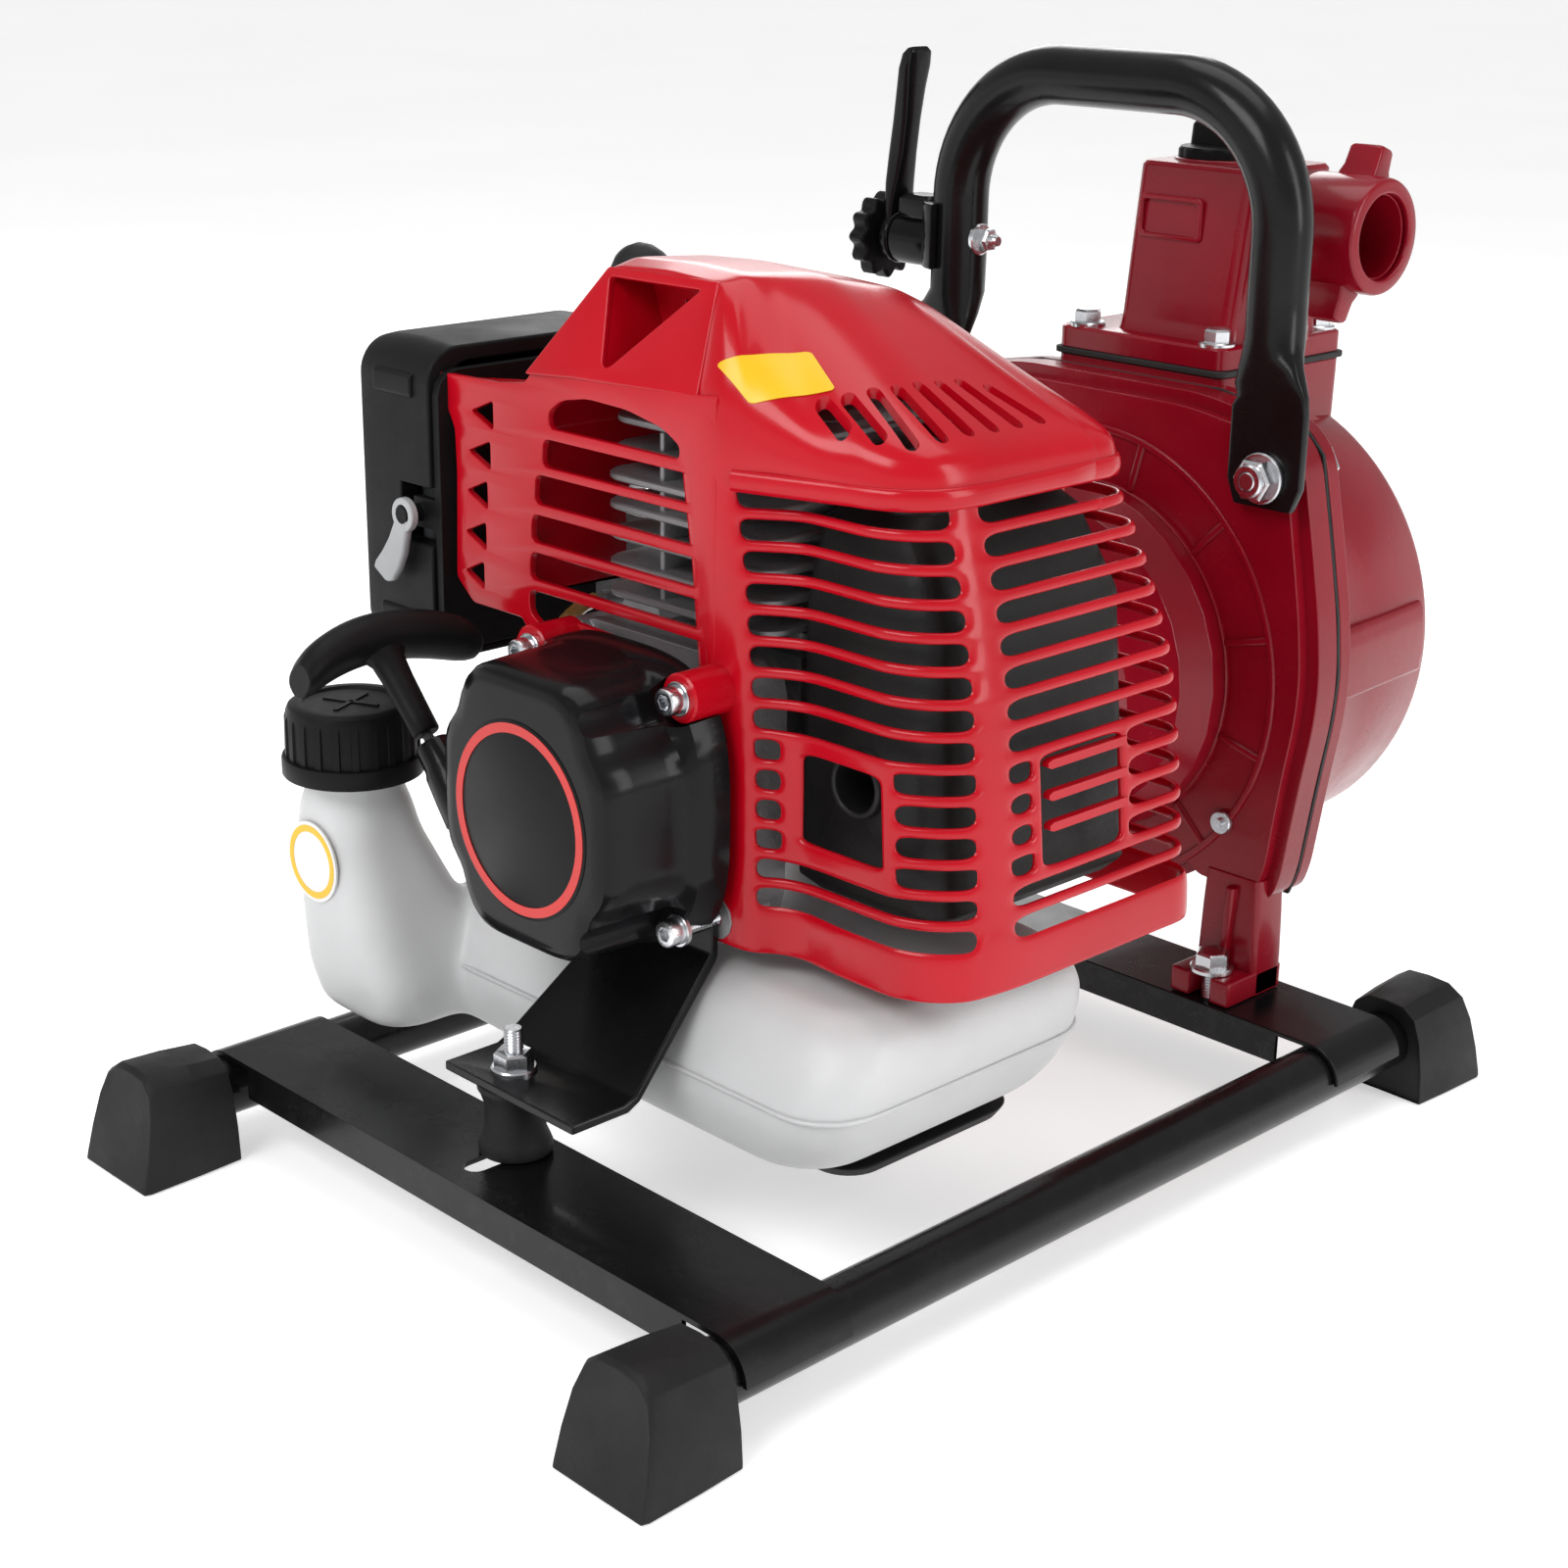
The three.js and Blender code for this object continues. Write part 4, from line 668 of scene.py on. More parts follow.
def build_shroud():
    """The cage and the dome as one skin with a wall, before the flat front is added."""
    verts = []
    faces = []
    index = {}

    def vertex(p):
        key = tuple(round(c, 3) for c in p)
        if key not in index:
            index[key] = len(verts)
            verts.append(key)
        return index[key]

    def quad(*corners):
        ids = []
        for p in corners:
            i = vertex(p)
            if i not in ids:
                ids.append(i)
        if len(ids) > 2:
            faces.append(ids)

    rows = cage_rows()
    grid = []
    for z in rows:
        proud = 1.6 if z < 112 else 0.0
        line = []
        for i, (x, y) in enumerate(cage_outline(z, 0)):
            if proud and i >= 6:
                x, y = cage_outline(z, proud)[i]
            if BAR_LEFT <= i <= BAR_RIGHT + 1 and 125.9 < z < 166.5:
                y -= 1.4
            line.append((x, y, z))
        grid.append(line)
    for r in range(len(rows) - 1):
        for i in range(len(grid[r]) - 1):
            if not cage_open(i, rows[r], rows[r + 1]):
                quad(grid[r][i], grid[r][i + 1], grid[r + 1][i + 1], grid[r + 1][i])

    # The dome runs from its lip to the ridge, a line of points above each column of the cage.
    count = len(grid[-1])
    lift = visor(0.5)
    right_lip = [(*grid[-1][i][:2], LIP_Z) for i in range(count)]
    stations = [0.0, 0.02, 0.05, 0.08, 0.11, 0.14] + [0.14 + 0.3 * (i + 1) / 10 for i in range(10)]
    stations += [0.44 + 0.36 * (i + 1) / 8 for i in range(8)]
    stations += [0.8 + 0.2 * (i + 1) / (count - 24) for i in range(count - 24)]
    left_lip = []
    for i in range(count):
        t = i / (count - 1)
        path = [(0, (-56, -76)), (0.08, (-56.5, -66)), (0.75, (-56.5, 30)), (0.86, (-50, 43)),
            (1, (40, 43))]
        for (ta, a), (tb, b) in zip(path, path[1:]):
            if ta <= t <= tb:
                k = (t - ta) / (tb - ta)
                left_lip.append((a[0] + (b[0] - a[0]) * k, a[1] + (b[1] - a[1]) * k, LIP_Z))
                break
    left_lip[-1] = (44.0, grid[-1][-1][1] + 1.2, LIP_Z)
    deck = [(0, 0), (0.005, 0.1), (0.03, 0.19), (0.1, 0.27), (0.26, 0.4), (0.46, 0.56),
        (0.66, 0.73), (0.83, 0.88), (0.94, 0.965), (1, 1)]
    step = [(0, 0), (0, 0.16), (0.02, 0.34), (0.12, 0.5), (0.3, 0.65), (0.5, 0.78), (0.7, 0.89),
        (0.85, 0.955), (0.95, 0.985), (1, 1)]

    def climb(low, top, share):
        line = []
        for (ha, va), (hb, vb) in zip(deck, step):
            h, v = hb + (ha - hb) * share, vb + (va - vb) * share
            line.append((low[0] + (top[0] - low[0]) * h, low[1] + (top[1] - low[1]) * h,
                low[2] + (top[2] - low[2]) * v))
        return line

    right_side, left_side = [], []
    for i in range(count):
        left, right, y, z = crest(stations[i])
        spine = ((left + right) / 2, y, z + 1.2)
        low = (*lift[i], LIP_Z + 2.5)
        if i == 0:
            column = [(table(SLOT_X, LIP_Z) - 16, PLANE_Y, LIP_Z + 2.5),
                (table(SLOT_X, LIP_Z) - 14, PLANE_Y, 250)]
            foot_point = Vector((23.5, PLANE_Y, 261))
            top = Vector((right, y, z))
            column += [tuple(foot_point + (top - foot_point) * k / 7) for k in range(8)]
        else:
            column = climb(low, (right, y, z), min(max((i - 3) / 4, 0), 1))
        column += [tuple(Vector((right, y, z)).lerp(Vector(spine), k / 3)) for k in (1, 2)]
        right_side.append([right_lip[i]] + column + [spine])
        low = Vector(left_lip[i])
        wall = low + Vector((0, 0, 17 if i < count * 0.8 else 8))
        if i == 0:
            wall = Vector((-50, -76, 257.3))
        column = [tuple(low), tuple(low.lerp(wall, 0.5))]
        top = Vector((left, y, z))
        column += [tuple(wall.lerp(top, k / 8)) for k in range(9)]
        column += [tuple(top.lerp(Vector(spine), k / 3)) for k in (1, 2)]
        left_side.append(column[:len(right_side[0]) - 1] + [spine])
    for side, flip in ((right_side, False), (left_side, True)):
        for a, b in zip(side, side[1:]):
            for k in range(len(a) - 1):
                if flip:
                    quad(b[k], a[k], a[k + 1], b[k + 1])
                else:
                    quad(a[k], b[k], b[k + 1], a[k + 1])

    mesh = bpy.data.meshes.new("shroud_skin")
    mesh.from_pydata([pt(*v) for v in verts], [], faces)
    skin = add_object("engine_shroud_skin", mesh)
    modifier = skin.modifiers.new("wall", "SOLIDIFY")
    modifier.thickness = 0.0028
    modifier.offset = -1
    modifier = skin.modifiers.new("round", "SUBSURF")
    modifier.levels = modifier.render_levels = 2
    bpy.context.view_layer.update()
    settle(skin)
    return skin


def build_hood_front():
    """Flat front of the hood: slotted window, flange with triangles, scoop, and the inner walls."""
    outline = [(33, 262), (24.5, 261.2), (-12, 260), (-50, 257.3), (-54, 253.4), (-68, 251.7),
        (-101.5, 250.8), (-102.6, 246.2), (-93, 240.4), (-89.4, 234), (-88.9, 220), (-90.4, 185.5),
        (-82, 178.4), (-57, 178.6), (-53, 173.4), (-45, 172.4), (-40.5, 177.4), (-33, 179.8),
        (-22, 179.2), (-10, 178.6), (4, 175), (14, 172), (24, 168), (24, 100), (33, 100)]
    slots = []
    for low, high, left, right in ((192, 201, -53, 27.7), (204.2, 213.2, -52, 26),
            (216.6, 226, -50, 24.5), (228.8, 237.6, -46, 23)):
        slots.append(eased([(left, low), (right, low), (right - 1, high), (left + 1, high)], 3.2))
    slots.append(eased([(-53, 188.6), (-53, 181), (-47, 177.8), (-42, 180.3), (-33, 182.4),
        (-22, 182), (-10, 181.4), (6, 178.2), (18, 175.4), (29, 174), (29.4, 180), (28.6, 188.6)],
        2.4))
    slots.append(eased([(-42, 241.2), (17, 241.2), (17.5, 245), (10, 249.2), (-6, 252.2),
        (-24, 252.8), (-36, 250.6), (-42.5, 246)], 3.4))
    for z, apex, base in ((241, -80.8, -69.6), (228, -82.7, -71.4), (215, -84, -73.4),
            (201.5, -85.2, -74.6), (188.4, -85.8, -76.1)):
        slots.append(eased([(apex, z), (base, z - 4.6), (base, z + 4.6)], 1.4))
    face = plate("hood_face", eased(outline, 1.6), slots, (0, -76, 0), (1, 0, 0), (0, 0, 1), 2.6,
        0.45)
    # The two facets lean back from the crease, one each side of the scoop's mouth.
    slope = Vector((0, 14, 30.2)).normalized()

    def lean(z):
        return (z - CREASE_Z) / slope.z

    mouth = eased([(-27.6, lean(287.8)), (12.5, lean(288.2)), (-15, lean(263.6)), (-17, lean(263)),
        (-18.6, lean(264))], 1.6)
    border = [(25.0, lean(260.6)), (18.6, lean(291.2)), (-29.4, lean(290.4)), (-51.4, lean(257.0)),
        (-30, lean(258.6))]
    brow = plate("hood_brow", eased(border, 1.2), [mouth], (0, -76.1, CREASE_Z), (1, 0, 0), slope,
        2.4, 0.5)
    # Walls of the scoop run back from its mouth to a small inner window.
    mouth_front = [(-28.4, 288.6), (13.6, 289), (-15.2, 262.6), (-18.6, 263)]
    walls = []
    cx, cz = -12.0, 278.0

    def ends(x, z, shift):
        """Front and rear point of a wall's corner, moved out from the mouth's middle."""
        grow = 1 + shift / math.hypot(x - cx, z - cz)
        wide, high = cx + (x - cx) * grow, cz + (z - cz) * grow
        return (wide, -76 + (z - CREASE_Z) * 14 / 30.2 + 1, high), (wide, -46, high)

    for a, b in zip(mouth_front, mouth_front[1:] + mouth_front[:1]):
        rows = []
        for shift in (0, 1.8):
            (front_a, rear_a), (front_b, rear_b) = ends(*a, shift), ends(*b, shift)
            rows.append([front_a, front_b, rear_b, rear_a])
        walls.append(loft("scoop_wall", rows))
    back_wall = plate("scoop_back", [(-31, 261), (18, 261), (18, 289), (-31, 289)],
        [eased([(-12, 272), (-1, 272), (3, 281), (-12, 281)], 1)], (0, -47, 0), (1, 0, 0),
        (0, 0, 1), 1.6, 0.3)
    ledge = plate("flange_ledge", eased([(-98.6, -75), (-50, -75), (-50, -48), (-70, -50),
        (-98.6, -66)], 2), [], (0, 0, 250.8), (1, 0, 0), (0, 1, 0.04), 2.2, 0.5)
    left_wall = plate("hood_wall", eased([(75, 186), (-42, 186), (-42, 248), (75, 248)], 2),
        [eased([(34, 182), (-12, 182), (-12, 216), (34, 216)], 5)] , (-57.2, 0, 0), (0, -1, 0),
        (0, 0, 1), 2.2, 0.3)
    rear_wall = plate("hood_rear_wall", [(-58, 182), (62, 182), (62, 247), (-58, 247)], [],
        (0, 42.4, 0), (1, 0, 0), (0, 0, 1), 2, 0.3)
    lip = sweep("hood_lip", [(x, y, LIP_Z + 1.6) for x, y in visor(0.2)[2:-3]],
        [(1.7 * c, 3.3 * s) for c, s in turns(16)])
    lugs = []
    for side in (-1, 1):
        lugs.append(lathe("lug", [(3.1, -91), (6.9, -91), (7.5, -90.4), (7.5, -74), (3.1, -74)],
            "y", (side * BOLT_X, 0, BOLT_HIGH), 40))
    return [face, brow, *walls, back_wall, ledge, left_wall, rear_wall, lip, *lugs]


def vent_cutter(upper, lower, width):
    """Round-ended upright bar whose plan runs from one point to the other; it cuts a slot."""
    a, b = Vector(upper), Vector(lower)
    along = Vector((b.x - a.x, b.y - a.y, 0))
    length = along.length
    along.normalize()
    across = Vector((-along.y, along.x, 0))
    half = width / 2
    plan = [(half * math.cos(t), half * math.sin(t)) for t in [math.pi * (0.5 + k / 8)
        for k in range(9)]]
    plan += [(length + half * math.cos(t), half * math.sin(t)) for t in [math.pi * (k / 8 - 0.5)
        for k in range(9)]]
    rings = []
    for lift in (-9, 9):
        rings.append([tuple(a + along * p + across * q + Vector((0, 0,
            lift + (b.z - a.z) * min(max(p / length, 0), 1)))) for p, q in plan])
    return loft("vent", rings)


VENTS = [((58.3, -58.4, 261), (67.6, -59.6, 256.4)), ((63.3, -53.4, 262.8), (77.5, -55.6, 255)),
    ((66.7, -46.6, 263.9), (85, -50.6, 252.6)), ((69, -39.4, 264.3), (87.2, -41.2, 254)),
    ((69.7, -31, 264.4), (87.4, -30.6, 254.5)), ((69.7, -22.2, 263.8), (87.2, -20, 254)),
    ((69.3, -13.2, 263.2), (86.9, -9.4, 253.8)), ((72.6, -4.4, 260.8), (86.6, 0.8, 253.6))]
skin = build_shroud()
for upper, lower in VENTS:
    carve(skin, vent_cutter(upper, lower, 4.6))


def build_patch():
    """Blank adhesive patch that follows the dome from the crest down towards the front."""
    tree = BVHTree.FromObject(skin, bpy.context.evaluated_depsgraph_get())
    corners = [Vector(c) for c in ((28.4, -72, 269.4), (45.4, -51, 273.4), (58.6, -53.8, 264.8),
        (41.2, -70.4, 259))]
    outward = (corners[1] - corners[0]).cross(corners[3] - corners[0]).normalized()
    outward *= math.copysign(1, outward.z)
    side = 18
    sheets = []
    for proud in (0.1, 0.45):
        grid = []
        for i in range(side + 1):
            for k in range(side + 1):
                u, v = i / side, k / side
                # Each corner of the square is pulled in to a small radius.
                du, dv = min(u, 1 - u), min(v, 1 - v)
                if du < 0.08 and dv < 0.08:
                    pull = 0.08 - math.hypot(0.08 - du, 0.08 - dv)
                    if pull < 0:
                        u += math.copysign(-pull * 0.7, 0.5 - u)
                        v += math.copysign(-pull * 0.7, 0.5 - v)
                p = corners[0].lerp(corners[1], u).lerp(corners[3].lerp(corners[2], u), v)
                point = tree.ray_cast(pt(*p) + outward * 0.02, -outward)[0]
                grid.append(tuple(point + outward * proud / 1000))
        sheets.append(grid)
    count = (side + 1) ** 2
    verts = sheets[0] + sheets[1]
    faces = []
    for i in range(side):
        for k in range(side):
            a = i * (side + 1) + k
            b = a + side + 1
            faces.append((a, a + 1, b + 1, b))
            faces.append((a + count, b + count, b + 1 + count, a + 1 + count))
    ring = [k for k in range(side)] + [i * (side + 1) + side for i in range(side)]
    ring += [side * (side + 1) + k for k in range(side, 0, -1)] + [i * (side + 1)
        for i in range(side, 0, -1)]
    for a, b in zip(ring, ring[1:] + ring[:1]):
        faces.append((a, b, b + count, a + count))
    mesh = bpy.data.meshes.new("shroud_patch")
    mesh.from_pydata(verts, [], faces)
    patch = add_object("shroud_patch", cleaned(mesh, merge=False))
    finish(patch, label_yellow, slot="red_plastic", smooth=40)


build_patch()
side_ribs = []
for z in (160, 150.5, 141.3):
    x = table(SIDE_X, z)
    side_ribs.append(loft("side_rib", [[(x - 2.4, y, z - h), (x + 0.2, y, z - h),
        (x + 0.2, y, z + h), (x - 2.4, y, z + h)] for y, h in ((-20.6, 0.7), (-19, 1.4), (0, 1.4),
        (15, 1.4))]))
shroud_red = fuse("engine_shroud_form", [skin, *build_hood_front(), *side_ribs])
finish(shroud_red, red_plastic, node="engine_shroud", smooth=38)


# ------------------------------------------------------------------ recoil starter
def starter_section(y, half_width, half_height, scoop, squareness):
    row = []
    for i in range(96):
        a = 2 * math.pi * i / 96
        c, s = math.cos(a), math.sin(a)
        edge = (abs(c / half_width) ** squareness + abs(s / half_height) ** squareness) ** (-1
            / squareness)
        r = edge - scoop * math.sin(2 * a) ** 8
        row.append((r * c, y, STARTER_Z + r * s))
    return row


GRIP = Vector((-82, -114.6, 174))
PULL = Vector((-math.sqrt(0.5), 0, math.sqrt(0.5)))  # the way the cord is pulled


def build_starter():
    body = loft("starter_body", [starter_section(-123.6, 32, 36.6, 8.4, 8),
        starter_section(-123.3, 35.2, 39.6, 9, 8), starter_section(-122.2, 37.2, 41.6, 9.5, 8),
        starter_section(-120.0, 38.4, 42.8, 10, 8), starter_section(-112, 39, 43.2, 10.2, 7.6),
        starter_section(-100, 40, 43.8, 10.2, 7), starter_section(-94.6, 40.6, 44, 10, 6.4),
        starter_section(-92.6, 41.2, 44.2, 7, 5.4), starter_section(-90.6, 42.4, 44.6, 3, 4.2),
        starter_section(-84, 43.6, 45, 1, 3.6), starter_section(-80, 44.2, 45.2, 0, 3.2)])
    cutters = []
    for x, z in STARTER_BOLTS:
        far = -91.2 if z == BOLT_LOW else -78
        cutters.append(lathe("bolt_room", [(0, -128), (8.2, -128), (8.2, far), (0, far)], "y",
            (x, 0, z), 40))
    hollow = lathe("hollow", [(0, -119), (35, -119), (35, -78), (0, -78)], "y", (0, 0, CRANK_Z), 64)
    for cutter in (*cutters, hollow):
        carve(body, cutter)
    # Collar that the cord comes out of.
    start, end = GRIP + PULL * -66, GRIP + PULL * -39.7
    side = PULL.cross(BACK).normalized()
    rows = []
    for t, r in ((0, 2.7), (0, 8.4), (0.3, 7.8), (0.62, 7.0), (0.7, 6.2), (0.96, 6.0), (1, 5.4),
            (1, 2.7)):
        centre = start.lerp(end, t)
        rows.append([tuple(centre + side * r * c + BACK * r * s) for c, s in turns(40)])
    rows.append(rows[0])
    eyelet = loft("eyelet", rows, cap=False)
    assemble("starter_housing", [body, eyelet], black_plastic, bevel=0.5, smooth=34)
    # Blank round label: black disc with a thin red ring on it.
    disc = lathe("starter_label", [(0, -123.6), (0, -124.0), (30.2, -124.0), (30.6, -123.8),
        (30.6, -123.5)], "y", (0, 0, LABEL_Z), 96)
    finish(disc, label_black, slot="black_plastic")
    band = lathe("starter_label_ring", [(26.6, -123.7), (26.6, -124.2), (29.6, -124.2),
        (29.6, -123.7)], "y", (0, 0, LABEL_Z), 96)
    finish(band, label_red, slot="red_plastic")


def build_grip():
    rows = []
    for i in range(25):
        t = -1 + i / 12
        droop = 9 * t * t
        size = 1.1 - 0.16 * t ** 4
        if abs(t) > 0.99:
            size *= 0.8
        elif abs(t) > 0.9:
            size *= 0.95
        row = []
        for c, s in turns(24):
            across = 8.2 * size * signed_power(c, 0.8)
            height = 6.2 * size * signed_power(s, 0.8) - droop
            row.append((GRIP.x + PULL.x * height + PULL.z * across, GRIP.y + 33 * t,
                GRIP.z + PULL.z * height - PULL.x * across))
        rows.append(row)
    bar = loft("grip_bar", rows)
    side = Vector((PULL.z, 0, -PULL.x))
    rows = []
    for d, r in ((-36, 0.1), (-36, 4.2), (-35.2, 4.7), (-30, 4.8), (-16, 5.2), (-9, 5.8), (-4, 7.2),
            (-1, 9)):
        centre = GRIP + PULL * d
        flat = 1.35 if d > -6 else 1.0
        rows.append([tuple(centre + side * r * 0.8 * c + BACK * r * flat * s) for c,
            s in turns(24)])
    stem = loft("grip_stem", rows)
    assemble("starter_grip", [bar, stem], satin_plastic, "recoil_handle", bevel=0.4)
    rows = []
    for i in range(60):
        d = -79.5 + 43.3 * i / 59
        centre = GRIP + PULL * d
        row = []
        for k in range(18):
            a = 2 * math.pi * k / 18
            r = 1.7 + 0.16 * math.cos(3 * a + i * 0.55)
            row.append(tuple(centre + side * r * math.cos(a) + BACK * r * math.sin(a)))
        rows.append(row)
    rope = loft("starter_rope_form", rows)
    mesh = rope.data
    mesh.materials.append(rope_black)
    for polygon in mesh.polygons:
        polygon.use_smooth = True
    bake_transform(rope)
    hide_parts("starter_rope")


build_starter()
build_grip()


def socket_bolt(node, x, z):
    """Cap screw with a knurled head, a hexagon socket and a flat washer under it."""
    seat = STARTER_SEAT
    rows = []
    for y, r in ((seat, 4.1), (seat - 0.3, 4.25), (seat - 4.3, 4.25), (seat - 4.8, 4.0),
            (seat - 5, 3.5)):
        row = []
        for k, (c, s) in enumerate(turns(72)):
            rr = r - (0.13 if k % 2 and 4.2 < r < 4.3 else 0)
            row.append((x + rr * c, y, z + rr * s))
        rows.append(row)
    for y, r in ((seat - 5, 2.5), (seat - 4.7, 2.3), (seat - 2.4, 2.3)):
        row = []
        for k in range(72):
            a = 2 * math.pi * k / 72
            edge = hexagon_reach(a)
            row.append((x + r * edge * math.cos(a), y, z + r * edge * math.sin(a)))
        rows.append(row)
    head = loft("head", rows)
    washer = lathe("washer", [(2.4, seat + 1.5), (2.4, seat), (5.0, seat), (5.2, seat + 0.2),
        (5.2, seat + 1.5)], "y", (x, 0, z), 48)
    shank = threads("y", (x, 0, z), 2.45, seat + 1, -58, 24)
    assemble(node, [head, washer, shank], zinc, smooth=30)


for number, (x, z) in enumerate(STARTER_BOLTS, 1):
    socket_bolt(f"starter_bolt_{number}", x, z)


# ------------------------------------------------------------------ fuel tank
def ring_stack(name, levels, radius, steps=8):
    return loft(name, [[(u, v, z) for u, v in rounded(*x, *y, min(radius, (x[1] - x[0]) / 2.1,
        (y[1] - y[0]) / 2.1), steps)] for z, x, y in levels])


def build_tank():
    body = ring_stack("tank_body", [(36.2, (-54, 76), (-76, -2)), (38, (-74, 84), (-86, 10)),
        (43, (-88, 93), (-93, 18)), (52, (-94, 99), (-96, 23)), (62, (-96, 102), (-96, 26)),
        (74, (-96, 103), (-89, 28)), (82, (-93, 100), (-83, 26)), (88, (-84, 92), (-74, 20)),
        (89, (-74, 80), (-66, 12))], 20)
    column = ring_stack("tank_column", [(43, (-112, -70), (-121, -70)),
        (46, (-116, -68), (-124, -68)), (58, (-120, -68), (-126, -70)),
        (80, (-121, -76), (-127, -82)), (104, (-122, -85), (-127, -91)),
        (115, (-121, -87), (-126, -93)), (121, (-118, -90), (-123.5, -96)),
        (123, (-113, -94), (-119, -100))], 13)
    neck = lathe("tank_neck", [(0, 112), (16.5, 112), (15.4, 126), (15, 144), (0, 144)], "z",
        (*FILLER, 0), 48)
    tank = melt(fuse("tank_raw", [body, column, neck]), 2.2, 14)
    finish(tank, tank_white, node="fuel_tank", subsurf=1)
    seam = ring_stack("tank_seam", [(61.4, (-96.5, 102.6), (-96.5, 26.4)),
        (62.6, (-96.5, 102.7), (-96.4, 26.5))], 20)
    finish(seam, tank_white, bevel=0.4)
    cx, cy = FILLER
    cap = lathe("cap_body", [(0, 144.6), (0, 146.8), (15.5, 146.8), (16.2, 147.6), (18.6, 147.6),
        (20.4, 146.8), (21.2, 145), (21.2, 130.4), (22.8, 130.1), (23.1, 129.3), (23.1, 124.4),
        (22.8, 123.9), (16.2, 123.9), (16.2, 144.2), (0, 144.2)], "z", (cx, cy, 0), 80)
    ribs = []
    for c, s in turns(22):
        rows = []
        for z, r in ((130.2, 21.8), (132, 21.9), (142.8, 21.7), (145.6, 20.8)):
            rows.append([(cx + (r + dx) * c - w * s, cy + (r + dx) * s + w * c, z) for dx,
                w in ((-1.4, -1.6), (0, -1.1), (0, 1.1), (-1.4, 1.6))])
        ribs.append(loft("rib", rows))
    cross = []
    for turn in (0, 90):
        t = math.radians(turn + 25)
        u, v = (math.cos(t), math.sin(t)), (-math.sin(t), math.cos(t))
        cross.append(loft("bar", [[(cx + u[0] * a + v[0] * b, cy + u[1] * a + v[1] * b, z) for a,
            b in ((-10, -0.8), (10, -0.8), (10, 0.8), (-10, 0.8))] for z in (146.6, 147.3)]))
    assemble("fuel_cap", [cap, *ribs, *cross], satin_plastic, "tank_cap", smooth=34)
    stand = ring_stack("tank_stand_form", [(28, (-44, 76), (-62, -4)), (29, (-47, 79), (-65, -1)),
        (32, (-52, 86), (-70, 4)), (35.8, (-54, 88), (-72, 6))], 12)
    finish(stand, satin_plastic, node="tank_stand", bevel=0.6)
    # Blank round label on the tank's column: white disc with a yellow ring on it.
    for name, profile, material in (("tank_label", [(0, -127.0), (0, -127.7), (13.6, -127.7),
            (13.6, -127.0)], label_white), ("tank_label_ring", [(10.2, -127.4), (10.2, -127.85),
            (12.4, -127.85), (12.4, -127.4)], label_yellow)):
        finish(lathe(name, profile, "y", (-104, 0, 96), 64), material, slot="grey_plastic")


build_tank()

# ------------------------------------------------------------------ pump casing
CASE_HALF = [(18, 53.8), (34, 58.6), (46, 64.5), (54, 70), (59, 66), (84, 66), (87.5, 76),
    (92, 108), (96, 132), (97, 148), (95, 168), (90, 194), (84, 222), (74, 232), (40, 238)]
CASE = CASE_HALF + [(-x, z) for x, z in reversed(CASE_HALF)]


def case_outline(grow=0.0):
    centre = Vector((0, 146))
    points = []
    for x, z in CASE:
        away = (Vector((x, z)) - centre)
        points.append(tuple(centre + away * (1 + grow / away.length)))
    return eased(points, 9, 4)


def bar_between(name, a, b, half, low, high):
    """Raised rib with sloping flanks, drawn in x and z from a to b, between two values of y."""
    a, b = Vector(a), Vector(b)
    side = Vector((-(b - a).y, (b - a).x)).normalized()
    rows = []
    for y, w in ((high, half + 0.6), (low + 0.6, half), (low, half * 0.6)):
        rows.append([(p.x, y, p.y) for p in (a - side * w, b - side * w, b + side * w,
            a + side * w)])
    return loft(name, rows)


def spoke(name, centre_z, inner, outer, angle, half, low, high):
    c, s = math.cos(math.radians(angle)), math.sin(math.radians(angle))
    return bar_between(name, (inner * c, centre_z + inner * s), (outer * c, centre_z + outer * s),
        half, low, high)


